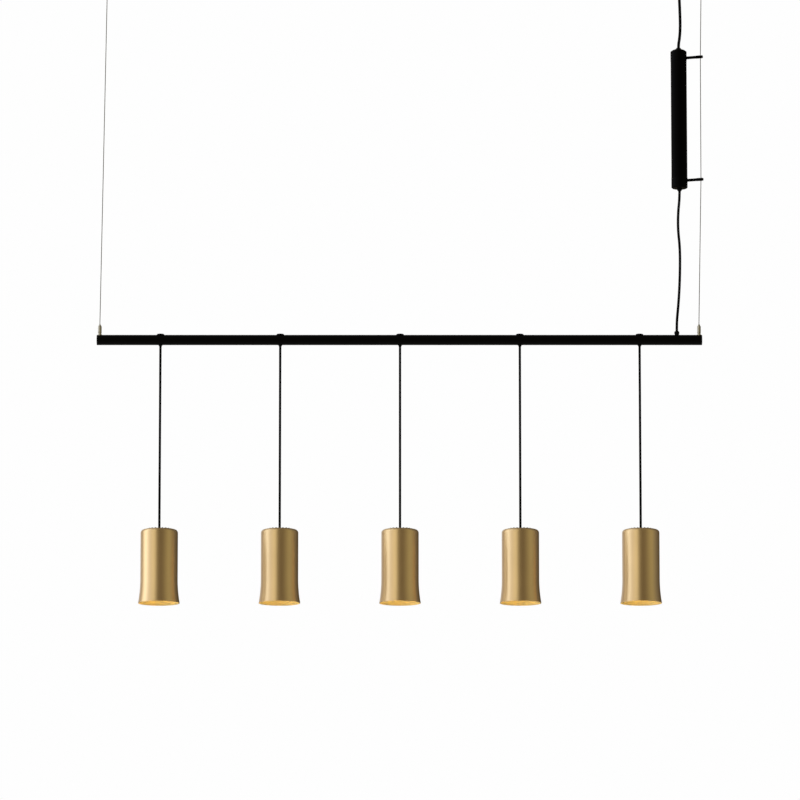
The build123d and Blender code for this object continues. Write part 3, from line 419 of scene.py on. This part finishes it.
def green_solder_mask():
    """Green lacquer, printed on the driver's board and cured: smoother than a moulding."""
    return fine_grit("Solder mask", "#1B5A2C", 0.3)


def white_solder_mask():
    """White lacquer on the lamps' boards, which throws the light back."""
    return fine_grit("White solder mask", "#E8E4D8", 0.35)


def metal(name, base, roughness, grain_scale, wear=0.1):
    """A bare or plated metal: full reflections, dulled by the fine marks of its making."""

    def build(tree, shader):
        marks = grain(tree, grain_scale, detail=3.0)
        tint = tinted(tree, marks, base, 1 - wear, 1 + wear)
        marked(tree, shader, tint, marks, (roughness - 0.06, roughness + 0.08), 0.008 * MM, 0.5)

    return material(name, {"Metallic": 1.0}, build)


def nickel_plate():
    """Turned brass with a satin nickel plate: warm grey, with the lathe's rings left in it. They are
    0.15 mm apart and are drawn at 0.7 mm, to show."""
    colours = bpy.context.scene.pendant_colours
    return metal("Nickel plated brass", colours.nickel, 0.34, (300, 300, 1 / (0.7 * MM)))


def drawn_steel():
    """Stainless wire drawn through dies: marks run along it, so it glints in thin lines. They are finer
    than 0.05 mm and are drawn 0.4 mm wide, to show."""
    colours = bpy.context.scene.pendant_colours
    return metal("Drawn stainless steel", colours.steel, 0.38, (1 / (0.4 * MM), 1 / (0.4 * MM), 60), 0.2)


def zinc_plate():
    """Pressed steel with bright zinc: pale blue-grey, with a faint cloudy spangle of about 8 mm."""
    return metal("Zinc plated steel", linear("#B9BCBE"), 0.42, (120, 120, 120))


def black_oxide():
    """Steel blackened in a hot bath and oiled: a dark metal that still glints at its edges, mottled in
    spots of about 1 mm."""
    return metal("Black oxide steel", linear("#2B2927"), 0.4, (900, 900, 900), 0.25)


def black_anodised():
    """Extruded aluminium, bead blasted and dyed black in the anodic layer: a dry, even grey-black. The
    beads' dimples are some 0.1 mm wide and are drawn at 0.6 mm, to show."""

    def build(tree, shader):
        blast = grain(tree, (1 / (0.6 * MM),) * 3, detail=3.0)
        tint = tinted(tree, blast, linear("#262B2B"), 0.85, 1.2)
        marked(tree, shader, tint, blast, (0.46, 0.58), 0.012 * MM)

    return material("Black anodised aluminium", {"Metallic": 0.55}, build)


def extruded_pvc():
    """PVC drawn over the cord as it leaves the extruder: matt, with faint lines along its length. They
    are some 0.1 mm apart and are drawn at 0.5 mm, to show."""
    colours = bpy.context.scene.pendant_colours

    def build(tree, shader):
        lines = grain(tree, (1 / (0.5 * MM), 1 / (0.5 * MM), 40))
        tint = tinted(tree, lines, colours.sheath, 0.8, 1.2)
        marked(tree, shader, tint, lines, (0.5, 0.62), 0.02 * MM)

    return material("Extruded PVC sheath", {"IOR": 1.53, "Specular IOR Level": 0.06}, build)


def opal_acrylic():
    """Moulded acrylic with a white pigment that scatters the light of the diodes behind it."""
    scene = bpy.context.scene
    values = {
        "Roughness": 0.42,
        "IOR": 1.49,
        "Emission Color": [*scene.pendant_colours.glow, 1],
        "Emission Strength": scene.pendant_stage.lamp,
    }

    def build(tree, shader):
        tint = tinted(tree, grain(tree, (60, 60, 60)), linear("#FFF3DF"), 0.96, 1.0)
        tree.links.new(tint, shader.inputs["Base Color"])

    return material("Opal acrylic", values, build)


# ---------------------------------------------------------------- cords
# The same points as the solids' routes, in metres, and the lengths along them.
SUPPLY_LENGTH = 0.1678
LOWER_LENGTH = 0.3706
CABLE_ROUTES = {
    "left": [
        (-0.7425, 0, -0.01725),
        (-0.7425, 0, -0.02275),
        (-0.75433, 0, -0.8667),
        (-0.7545, 0, -0.8787),
        (-0.7545, 0, -0.8989),
    ],
    "right": [
        (0.7425, 0, -0.01725),
        (0.7425, 0, -0.02275),
        (0.73958, 0, -0.189),
        (0.73937, 0, -0.201),
        (0.73933, 0, -0.213),
        (0.73846, 0, -0.5005),
        (0.73842, 0, -0.5125),
        (0.73816, 0, -0.5245),
        (0.73076, 0, -0.8667),
        (0.7305, 0, -0.8787),
        (0.7305, 0, -0.8989),
    ],
}
SUPPLY_ROUTE = [
    (0.6875, 0, -0.014),
    (0.6875, 0, -0.044),
    (0.6893, 0.0055, -0.084),
    (0.6904, 0.0125, -0.121),
    (0.6888, 0.0172, -0.149),
    (0.6858, 0.0193, -0.165),
    (0.6858, 0.0193, -0.180),
]
LOWER_ROUTE = [
    (0.6858, 0.0193, -0.5325),
    (0.6858, 0.0193, -0.5565),
    (0.6818, 0.0170, -0.592),
    (0.6808, 0.0142, -0.636),
    (0.6854, 0.0112, -0.684),
    (0.6850, 0.0074, -0.742),
    (0.6826, 0.0042, -0.796),
    (0.6788, 0.0016, -0.842),
    (0.6755, 0, -0.8723),
    (0.6755, 0, -0.9018),
]


def route_curve(name, points, radius):
    """A cord's smooth line through its route, as thick as the radius says."""
    data = bpy.data.curves.new(name, "CURVE")
    data.dimensions = "3D"
    data.resolution_u = 16
    spline = data.splines.new("NURBS")
    spline.points.add(len(points) - 1)
    for place, point in zip(spline.points, points):
        place.co = (*point, 1)
    spline.order_u = 3
    spline.use_endpoint_u = True
    spline.use_smooth = True
    data.bevel_depth = radius
    data.bevel_resolution = 7
    data.use_fill_caps = radius > 0
    piece = bpy.data.objects.new(name, data)
    bpy.context.scene.collection.objects.link(piece)
    return piece


def line_of(points):
    """Points along the smooth line through a route."""
    guide = route_curve("guide", points, 0)
    bpy.context.view_layer.update()
    mesh = bpy.data.meshes.new_from_object(guide)
    line = [v.co.copy() for v in mesh.vertices]
    bpy.data.objects.remove(guide)
    bpy.data.meshes.remove(mesh)
    return line


def evenly(line, step):
    """A line's points again, evenly spaced."""
    runs = [(b - a).length for a, b in zip(line, line[1:])]
    count = math.ceil(sum(runs) / step)
    even, run, start = [], 0, 0.0
    for i in range(count + 1):
        distance = sum(runs) * i / count
        while run < len(runs) - 1 and start + runs[run] < distance:
            start += runs[run]
            run += 1
        even.append(line[run].lerp(line[run + 1], (distance - start) / runs[run]))
    return even


def wire_rope(name, route, radius, strands, lay):
    """A steel cable, round strands laid in a helix about a core, as one ribbed tube; and its middle
    line."""
    around, steps, sharp = 4 * strands, 12, 60.0
    path = evenly(line_of(route), lay / steps)
    pitch_radius = radius * 2 / 3
    strand_radius = radius - pitch_radius
    vertices = []
    for k, point in enumerate(path):
        along = (path[min(k + 1, len(path) - 1)] - path[max(k - 1, 0)]).normalized()
        side = along.cross(Vector((0, 1, 0))).normalized()
        other = along.cross(side)
        twist = 2 * math.pi * k / steps
        for i in range(around):
            turn = 2 * math.pi * i / around
            lobe = (turn * strands / (2 * math.pi)) % 1.0 - 0.5
            off = lobe * 2 * math.pi / strands
            inner = (pitch_radius * math.sin(off)) ** 2
            reach = pitch_radius * math.cos(off) + math.sqrt(max(strand_radius**2 - inner, 0))
            vertices.append(
                point + (side * math.cos(turn + twist) + other * math.sin(turn + twist)) * reach
            )
    rings = numbered(len(path), around)
    return mesh_piece(name, vertices, [*skin(rings), rings[0][::-1], rings[-1]], sharp), path


class PENDANT_OT_cords(bpy.types.Operator):
    """Makes the steel cables, the mains cords and the pendant cords, and finishes the balls on them"""

    bl_idname = "pendant.cords"
    bl_label = "Cables and cords"

    def execute(self, context):
        sizes = context.scene.pendant_sizes
        for side in SIDES:
            node = f"cable_{side}"
            rope, path = wire_rope(
                f"steel_cable_{side}",
                CABLE_ROUTES[side],
                sizes.cable / 2,
                sizes.cable_strands,
                sizes.cable_lay,
            )
            stands_for(rope, node, BODY, drawn_steel())
        for name, route, thickness, real_length in (
            ("upper", SUPPLY_ROUTE, sizes.supply_cord, SUPPLY_LENGTH),
            ("lower", LOWER_ROUTE, sizes.lower_cord, LOWER_LENGTH),
        ):
            cord = route_curve(f"black_mains_cord_{name}", route, thickness / 2)
            stands_for(cord, f"mains_cord_{name}", BODY, extruded_pvc())
        for number in PENDANTS:
            node = f"cord_{number}"
            low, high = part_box(node)
            at = middle(node)
            radius = sizes.pendant_cord / 2
            route = [(at.x, at.y, z) for z in (high.z, (high.z + low.z) / 2, low.z)]
            profile = [*arc((0, high.z - radius), radius, 90, 0), (radius, low.z), (0, low.z)]
            cord = turned(f"black_cord_{number}", [(profile, (at.x, at.y, 0), UP)], segments=48)
            stands_for(cord, node, f"pendant_{number}", extruded_pvc())
            [tuple(p) for p in line_of(route)]
        dress("cable_ball_ends", drawn_steel())
        dress("cord_stop", moulded_nylon())
        return {"FINISHED"}


# ---------------------------------------------------------------- tube
def saddle_plug(x, radius, top, bar_z, bar_radius, chamfer):
    """The solid of a low round plug whose underside follows the top of the tube."""
    segments = 72
    soft = 0.5 * MM
    sunk = 0.3 * MM  # how far the underside lies inside the tube's wall
    foot = top - 3 * chamfer
    corners = [(0, top), (radius - chamfer, top), (radius, top - chamfer), (radius, foot), (0, foot)]
    profile = [p for p in rounded(corners, soft) if p[1] > top - 2 * chamfer]
    vertices, rings = [], []
    # The profile's foot is cut off: the rings without a height lie on the tube in its place.
    for r, z in [*profile, (radius, None), (0.5 * radius, None), (0, None)]:
        count = 1 if r < ON_AXIS else segments
        rings.append([len(vertices) + i for i in range(count)])
        for i in range(count):
            turn = 2 * math.pi * i / segments
            y = r * math.sin(turn)
            seat = bar_z + math.sqrt(bar_radius**2 - y**2) - sunk
            vertices.append(Vector((x + r * math.cos(turn), y, seat if z is None else z)))
    return vertices, skin(rings, inside_out=True)


class PENDANT_OT_tube(bpy.types.Operator):
    """Makes the long tube with its end and top plugs, and finishes its bushes, gland, wiring and sleeves"""

    bl_idname = "pendant.tube"
    bl_label = "Tube and plugs"

    def execute(self, context):
        sizes = context.scene.pendant_sizes
        low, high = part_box("bar_tube")
        plug_low, plug_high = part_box("end_plugs")
        radius = (high.z - low.z) / 2
        axis_z = (high.z + low.z) / 2
        inner = radius - sizes.tube_wall
        wall = [(radius, 0), (radius, high.x - low.x), (inner, high.x - low.x), (inner, 0)]
        tube = turned(
            "black_tube", [(rounded(wall, sizes.edge_round), (low.x, 0, axis_z), (1, 0, 0))], segments=128
        )
        stands_for(tube, "bar_tube", BODY, powder_coat("steel"))

        clearance, spigot_length = 0.1 * MM, 15 * MM
        flange = low.x - plug_low.x
        spigot = inner - clearance
        depth = flange + spigot_length
        round_over = 3 * sizes.edge_round
        edge = arc((radius - round_over, round_over), round_over, -90, 0)
        profile = [(0, 0), *edge, (radius, flange), (spigot, flange), (spigot, depth), (0, depth)]
        ends = turned(
            "tube_end_plugs",
            [
                (profile, (plug_low.x, 0, axis_z), (1, 0, 0)),
                (profile, (plug_high.x, 0, axis_z), (-1, 0, 0)),
            ],
            segments=128,
        )
        stands_for(ends, "end_plugs", BODY, powder_coat("aluminium"))

        tops_low, tops_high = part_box("bar_top_plugs")
        top_radius = (tops_high.y - tops_low.y) / 2
        plugs = joined(
            "tube_top_plugs",
            [
                saddle_plug(
                    middle(f"cord_{n}").x, top_radius, tops_high.z, axis_z, radius, sizes.plug_chamfer
                )
                for n in PENDANTS
            ],
        )
        stands_for(plugs, "bar_top_plugs", BODY, moulded_abs())

        dress("pendant_glands", moulded_nylon())
        dress("cord_entry_gland", moulded_nylon())
        dress("bar_wiring", moulded_polypropylene())
        for number in PENDANTS:
            dress(f"sleeve_{number}", moulded_rubber())
        return {"FINISHED"}


class PENDANT_OT_grips(bpy.types.Operator):
    """Finishes the two cable grips, their plungers and jaws"""

    bl_idname = "pendant.grips"
    bl_label = "Cable grips"

    def execute(self, context):
        for side in SIDES:
            dress(f"grip_{side}", nickel_plate())
            dress(f"plunger_{side}", nickel_plate())
        dress("grip_jaws", drawn_steel())
        return {"FINISHED"}


# ---------------------------------------------------------------- driver
def knurled(origin, out, start, end, radius):
    """The solid of a thumbscrew's head: a drum with straight knurling and chamfered ends."""
    teeth, groove, chamfer = 28, 0.28 * MM, 0.5 * MM
    around = 2 * teeth
    along = Vector(out).normalized()
    side = along.orthogonal().normalized()
    other = along.cross(side)
    stations = [
        (start, radius - chamfer, 0),
        (start + chamfer, radius, groove),
        (end - chamfer, radius, groove),
        (end, radius - chamfer, 0),
    ]
    vertices = []
    for distance, reach, depth in stations:
        for i in range(around):
            turn = 2 * math.pi * i / around
            r = reach - depth * (i % 2)
            vertices.append(
                Vector(origin) + along * distance + (side * math.cos(turn) + other * math.sin(turn)) * r
            )
    rings = numbered(len(stations), around)
    return vertices, [*skin(rings), rings[0][::-1], rings[-1]]


def thumbscrew(clamp, out):
    """The two solids of a thumbscrew, all its distances taken outwards from the cable's middle."""
    tip, shank_end, shank = 0.9 * MM, 4 * MM, 1.5 * MM
    head_start, head_end, head = 3.2 * MM, 5.9 * MM, 3.5 * MM
    shaft = [(0, tip), (shank, tip), (shank, shank_end), (0, shank_end)]
    return [turned_solid(shaft, clamp, out, 32), knurled(clamp, out, head_start, head_end, head)]


def cross_screw(at, out):
    """The solid of a flat-headed screw with a cross recess, its face at this point."""
    segments = 48
    radius, head, edge = 2.55 * MM, 1.2 * MM, 0.25 * MM
    shank, screw_length = 1.35 * MM, 6.5 * MM
    half, reach, depth = 0.4 * MM, 1.7 * MM, 0.9 * MM
    taper = 0.7  # the recess at its floor against its mouth
    along = Vector(out).normalized()
    side, other = Vector((1, 0, 0)), along.cross(Vector((1, 0, 0)))
    cross = [(reach, -half), (reach, half), (half, half), (half, reach), (-half, reach), (-half, half)]
    cross += [(-x, -y) for x, y in cross]

    def place(x, y, h):
        return Vector(at) + side * x + other * y + along * h

    def ring(r, h):
        turns = [2 * math.pi * i / segments for i in range(segments)]
        return [place(r * math.cos(t), r * math.sin(t), h) for t in turns]

    circles = [
        ring(radius - edge, 0),
        ring(radius, -edge),
        ring(radius, -head),
        ring(shank, -head - radius + shank),
        ring(shank, -screw_length),
    ]
    rings = numbered(len(circles), segments)
    faces = [*skin(rings, inside_out=True), rings[-1][::-1]]
    vertices = [point for circle in circles for point in circle]
    mouth = [len(vertices) + i for i in range(len(cross))]
    vertices += [place(x, y, 0) for x, y in cross]
    floor = [len(vertices) + i for i in range(len(cross))]
    vertices += [place(taper * x, taper * y, -depth) for x, y in cross]
    faces += [*skin([mouth, floor]), floor]
    # The flat face between recess and rim: each step of the rim goes to the recess's nearest corner.
    corner_turns = [math.atan2(y, x) for x, y in cross]
    nearest = []
    for i in range(segments):
        turn = 2 * math.pi * (i + 0.5) / segments
        nearest.append(max(range(len(cross)), key=lambda k: math.cos(turn - corner_turns[k])))
    for i in range(segments):
        j = (i + 1) % segments
        faces.append([rings[0][i], rings[0][j], mouth[nearest[i]]])
        if nearest[j] != nearest[i]:
            faces.append([rings[0][j], mouth[nearest[j]], mouth[nearest[i]]])
    return vertices, faces


class PENDANT_OT_driver(bpy.types.Operator):
    """Makes the driver's tube and screws, and finishes its caps, clamp arms and board"""

    bl_idname = "pendant.driver"
    bl_label = "Driver"

    def execute(self, context):
        sizes = context.scene.pendant_sizes
        wall_thickness = 1.5 * MM
        low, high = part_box("driver_tube")
        at = middle("driver_tube")
        radius = (high.x - low.x) / 2
        inner = radius - wall_thickness
        wall = [(radius, low.z), (radius, high.z), (inner, high.z), (inner, low.z)]
        tube = turned(
            "black_driver_tube", [(rounded(wall, sizes.edge_round), (at.x, at.y, 0), UP)], segments=128
        )
        stands_for(tube, "driver_tube", BODY, driver_coat())

        screws = []
        for end in ("top", "bottom"):
            arm_low, arm_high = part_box(f"clamp_arm_{end}")
            z = (arm_low.z + arm_high.z) / 2
            cable = min(CABLE_ROUTES["right"], key=lambda p: abs(p[2] - z))
            clamp = Vector((cable[0], 0, z))
            out = (clamp - Vector((at.x, at.y, z))).normalized()
            screws += thumbscrew(clamp, out)
        screw_out = 11.9 * MM
        inset = 0.15 * MM  # of a screw's face above the lowest point of the part's screws
        face_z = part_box("driver_screws")[0].z + inset
        for side in (-1, 1):
            screws.append(cross_screw((at.x + side * screw_out, at.y, face_z), (0, 0, -1)))
        screws = joined("driver_thumb_and_face_screws", screws, 25.0)
        stands_for(screws, "driver_screws", BODY, black_oxide())

        for end in ("top", "bottom"):
            dress(f"driver_cap_{end}", moulded_abs())
            dress(f"clamp_arm_{end}", driver_coat())
        dress("driver_board", green_solder_mask())
        return {"FINISHED"}


# ---------------------------------------------------------------- shades
def shade_profile(sizes, bottom, top, rim):
    """The spun shade's wall: flat top, round shoulder, straight side and flared skirt."""
    wall, body, bend = sizes.shade_wall, sizes.shade_radius, sizes.shade_shoulder
    bend_steps, flare_steps = 16, 24
    flare_top = bottom + sizes.shade_flare
    spread_out = rim - body
    sweep = (spread_out**2 + sizes.shade_flare**2) / (2 * spread_out)
    lean = math.degrees(math.asin(sizes.shade_flare / sweep))
    lip = 0.35 * MM  # the rounding of both cut edges
    shoulder = (body - bend, top - bend)
    centre = (body + sweep, flare_top)
    outside = arc(shoulder, bend, 90, 0, bend_steps) + arc(centre, sweep, 180, 180 + lean, flare_steps)
    lean_in = math.degrees(math.asin(sizes.shade_flare / (sweep + wall)))
    inside = arc(centre, sweep + wall, 180 + lean_in, 180, flare_steps)
    inside += arc(shoulder, bend - wall, 0, 90, bend_steps)
    edge_out, edge_in = outside.pop(), inside.pop(0)
    rim_edge = [
        (edge_out[0] - 0.1 * lip, edge_out[1] + lip),
        (edge_out[0] - 0.35 * lip, bottom + 0.3 * lip),
        (edge_out[0] - lip, bottom),
        (edge_in[0] + lip, bottom),
        (edge_in[0] + 0.35 * lip, bottom + 0.3 * lip),
        (edge_in[0], bottom + lip),
    ]
    hole = sizes.shade_opening
    hole_edge = [(hole + lip, top - wall), (hole, top - wall + lip), (hole, top - lip), (hole + lip, top)]
    return hole_edge + outside + rim_edge + inside


def paint_inside(shade, at):
    """Paints the faces that look in at the shade's axis and those under its top, at being its middle."""
    shade.data.materials.append(gold_paint())
    for face in shade.data.polygons:
        outward = Vector((face.center.x - at.x, face.center.y - at.y, 0)).normalized()
        looks_in = face.normal.dot(outward) < -0.3
        under_top = face.normal.z < -0.7 and face.center.z > at.z
        face.material_index = int(looks_in or under_top)


class PENDANT_OT_shades(bpy.types.Operator):
    """Makes the five spun brass shades and finishes the lamps inside them"""

    bl_idname = "pendant.shades"
    bl_label = "Shades and lamps"

    def execute(self, context):
        sizes = context.scene.pendant_sizes
        for number in PENDANTS:
            node, body = f"shade_{number}", f"pendant_{number}"
            low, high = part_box(node)
            at = middle(node)
            rim = (high.x - low.x) / 2
            profile = shade_profile(sizes, low.z, high.z, rim)
            shade = turned(f"brass_shade_{number}", [(profile, (at.x, at.y, 0), UP)], segments=128)
            stands_for(shade, node, body, spun_brass())
            paint_inside(shade, at)
            dress(f"heat_sink_{number}", black_anodised())
            dress(f"led_board_{number}", white_solder_mask())
            dress(f"diffuser_{number}", opal_acrylic())
        return {"FINISHED"}


# ---------------------------------------------------------------- ceiling fittings
class PENDANT_OT_ceiling(bpy.types.Operator):
    """Makes the cable anchors and finishes the canopy"""

    bl_idname = "pendant.ceiling"
    bl_label = "Ceiling fittings"

    def execute(self, context):
        sizes = context.scene.pendant_sizes
        soft = sizes.edge_round
        cap_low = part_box("anchor_caps")[0].z
        # Radius, and height below the ceiling, in millimetres.
        disc = [(2.2, 0), (12, 0), (12, -3), (7.5, -3), (7.5, -11), (5.2, -11), (5.2, -3), (4.4, -3)]
        disc_profile = rounded([(r * MM, z * MM) for r, z in disc], 0.5 * soft)
        cap = [(7.6, -3), (10, -3), (10, -19), (5.26, -27), (3.31, -27), (2, -22), (2.62, -21.08)]
        cap += [(2.83, -20), (2.83, -16), (7.6, -16)]
        cap_profile = rounded([(r * MM, z * MM) for r, z in cap], soft)
        ends = [(CABLE_ROUTES[side][0][0], 0, 0) for side in SIDES]
        if abs(cap_low - min(z for r, z in cap_profile)) > 1 * MM:
            raise RuntimeError("the anchor caps don't end where the part's do")
        discs = turned("ceiling_anchor_discs", [(disc_profile, end, UP) for end in ends])
        stands_for(discs, "ceiling_anchors", "ceiling", zinc_plate())
        caps = turned("ceiling_anchor_caps", [(cap_profile, end, UP) for end in ends])
        stands_for(caps, "anchor_caps", "ceiling", nickel_plate())
        dress("canopy_bracket", zinc_plate())
        dress("canopy_cover", powder_coat("steel"))
        dress("canopy_outlet", moulded_nylon())
        dress("terminal_block", moulded_polypropylene())
        return {"FINISHED"}


# ---------------------------------------------------------------- stage
# What stands round the light, as the object sees it: degrees to the right of the camera's side, and
# the colour there.
ROUND_ABOUT = [
    (-180, "#504A38"),  # the dim room behind
    (-150, "#909090"),  # a pale wall
    (-125, "#504030"),  # the gap beside the softbox
    (-110, "#B0B0A8"),  # the softbox, from its far edge
    (-90, "#DCE8F8"),
    (-60, "#949498"),
    (-26, "#B0B0A0"),  # to its near edge
    (-12, "#403A2A"),  # the dark side with the camera
    (20, "#443E34"),
    (68, "#787660"),  # a weak, warm softbox
    (100, "#565550"),
    (150, "#282010"),  # a dark corner
    (180, "#504A38"),
]
# How far those reach up and down: the sine of the elevation, and the share of them seen there.
UP_AND_DOWN = [(-1, 0), (-0.8, 0), (-0.5, 0.9), (0, 1), (0.6, 1), (0.9, 0.5), (1, 0)]
OVERHEAD = "#454443"
UNDERFOOT = "#7B7874"


def studio_world(stage, background):
    """The studio that lights the object and shows in its metal. In its place the camera sees a plain
    background."""
    world = bpy.data.worlds.new("Studio")
    bpy.context.scene.world = world
    world.use_nodes = True
    tree = world.node_tree
    tree.nodes.clear()
    place = add(tree, "ShaderNodeTexCoord")
    split = add(tree, "ShaderNodeSeparateXYZ", links={"Vector": place.outputs["Generated"]})
    nearer = add(tree, "ShaderNodeMath", {1: -1.0}, {0: split.outputs["Y"]}, operation="MULTIPLY")
    turn = add(
        tree, "ShaderNodeMath", links={0: split.outputs["X"], 1: nearer.outputs[0]}, operation="ARCTAN2"
    )
    around = add(
        tree, "ShaderNodeMapRange", {"From Min": -math.pi, "From Max": math.pi}, {"Value": turn.outputs[0]}
    )
    rise = add(tree, "ShaderNodeMapRange", {"From Min": -1.0}, {"Value": split.outputs["Z"]})
    walls = ramp(tree, around.outputs["Result"], [((t + 180) / 360, linear(c)) for t, c in ROUND_ABOUT])
    reach = ramp(tree, rise.outputs["Result"], [((s + 1) / 2, (share,) * 3) for s, share in UP_AND_DOWN])
    ends = ramp(tree, rise.outputs["Result"], [(0, linear(UNDERFOOT)), (1, linear(OVERHEAD))])
    lit, plain = (
        add(tree, "ShaderNodeBackground", {"Strength": strength}) for strength in (stage.key, 1.0)
    )
    # Inputs 6 and 7 and output 2 of this node are its colours.
    both = add(tree, "ShaderNodeMix", links={0: reach, 6: ends, 7: walls}, data_type="RGBA")
    tree.links.new(both.outputs[2], lit.inputs["Color"])
    plain.inputs["Color"].default_value = (*background, 1)
    seen = add(tree, "ShaderNodeLightPath").outputs["Is Camera Ray"]
    mix = add(
        tree, "ShaderNodeMixShader", links={0: seen, 1: lit.outputs[0], 2: plain.outputs[0]}
    ).outputs[0]
    add(tree, "ShaderNodeOutputWorld", links={"Surface": mix})


def painted_floor(background):
    """A studio's white painted floor: matt, so the object's shadow lies softly on it. Only the camera
    sees it, and only from above; it glows enough there to meet the background without a line."""
    made = bpy.data.materials.new("White painted floor")
    made.use_nodes = True
    tree = made.node_tree
    tree.nodes.clear()
    matt = add(tree, "ShaderNodeBsdfDiffuse", {"Color": (*linear("#EDEDED"), 1)})
    glow = add(tree, "ShaderNodeEmission", {"Color": (*background, 1), "Strength": 0.7})
    both = add(tree, "ShaderNodeAddShader", links={0: matt.outputs[0], 1: glow.outputs[0]})
    clear = add(tree, "ShaderNodeBsdfTransparent")
    above = add(
        tree,
        "ShaderNodeMath",
        {0: 1.0},
        {1: add(tree, "ShaderNodeNewGeometry").outputs["Backfacing"]},
        operation="SUBTRACT",
    )
    seen = add(
        tree,
        "ShaderNodeMath",
        links={0: above.outputs[0], 1: add(tree, "ShaderNodeLightPath").outputs["Is Camera Ray"]},
        operation="MULTIPLY",
    )
    mix = add(
        tree, "ShaderNodeMixShader", links={0: seen.outputs[0], 1: clear.outputs[0], 2: both.outputs[0]}
    )
    add(tree, "ShaderNodeOutputMaterial", links={"Surface": mix.outputs[0]})
    return made


class PENDANT_OT_stage(bpy.types.Operator):
    """Makes the camera, the studio's light and the floor"""

    bl_idname = "pendant.stage"
    bl_label = "Camera, light and floor"

    def execute(self, context):
        scene = context.scene
        stage = scene.pendant_stage
        data = bpy.data.cameras.new("Camera")
        data.lens = stage.lens
        data.sensor_width = SENSOR
        data.clip_end = FARTHEST
        camera = bpy.data.objects.new("Camera", data)
        camera.location = (stage.across, -stage.distance, stage.height)
        camera.rotation_euler = (math.pi / 2 + stage.pitch, 0, 0)
        scene.collection.objects.link(camera)
        scene.camera = camera
        scene.view_settings.view_transform = "Standard"

        studio_world(stage, scene.pendant_colours.background)
        reach = stage.floor_reach
        corners = [(-reach, -reach), (reach, -reach), (reach, reach), (-reach, reach)]
        mesh = bpy.data.meshes.new("studio_floor")
        mesh.from_pydata([(x, y, stage.floor) for x, y in corners], [], [(0, 1, 2, 3)])
        mesh.materials.append(painted_floor(scene.pendant_colours.background))
        floor = bpy.data.objects.new("studio_floor", mesh)
        scene.collection.objects.link(floor)
        return {"FINISHED"}


# ---------------------------------------------------------------- add-on
OPERATORS = (
    PENDANT_OT_stage,
    PENDANT_OT_cords,
    PENDANT_OT_tube,
    PENDANT_OT_grips,
    PENDANT_OT_driver,
    PENDANT_OT_shades,
    PENDANT_OT_ceiling,
)
GROUPS = {
    "pendant_sizes": PendantSizes,
    "pendant_colours": PendantColours,
    "pendant_stage": PendantStage,
}


class PENDANT_PT_panel(bpy.types.Panel):
    """Lists the pieces of the light and its stage, with their sizes and colours"""

    bl_idname = "PENDANT_PT_panel"
    bl_label = "Island pendant"
    bl_space_type = "VIEW_3D"
    bl_region_type = "UI"
    bl_category = "Pendant"

    def draw(self, context):
        for operator in OPERATORS:
            self.layout.operator(operator.bl_idname)
        for group, kind in GROUPS.items():
            box = self.layout.box()
            for name in kind.__annotations__:
                box.prop(getattr(context.scene, group), name)


def register():
    for kind in (*GROUPS.values(), *OPERATORS, PENDANT_PT_panel):
        bpy.utils.register_class(kind)
    for name, kind in GROUPS.items():
        setattr(bpy.types.Scene, name, PointerProperty(type=kind))


def unregister():
    for name in GROUPS:
        delattr(bpy.types.Scene, name)
    for kind in (PENDANT_PT_panel, *reversed(OPERATORS), *reversed(GROUPS.values())):
        bpy.utils.unregister_class(kind)


def main():
    register()
    bpy.ops.pendant.stage()
    bpy.ops.pendant.cords()
    bpy.ops.pendant.tube()
    bpy.ops.pendant.grips()
    bpy.ops.pendant.driver()
    bpy.ops.pendant.shades()
    bpy.ops.pendant.ceiling()


if __name__ == "__main__":
    main()
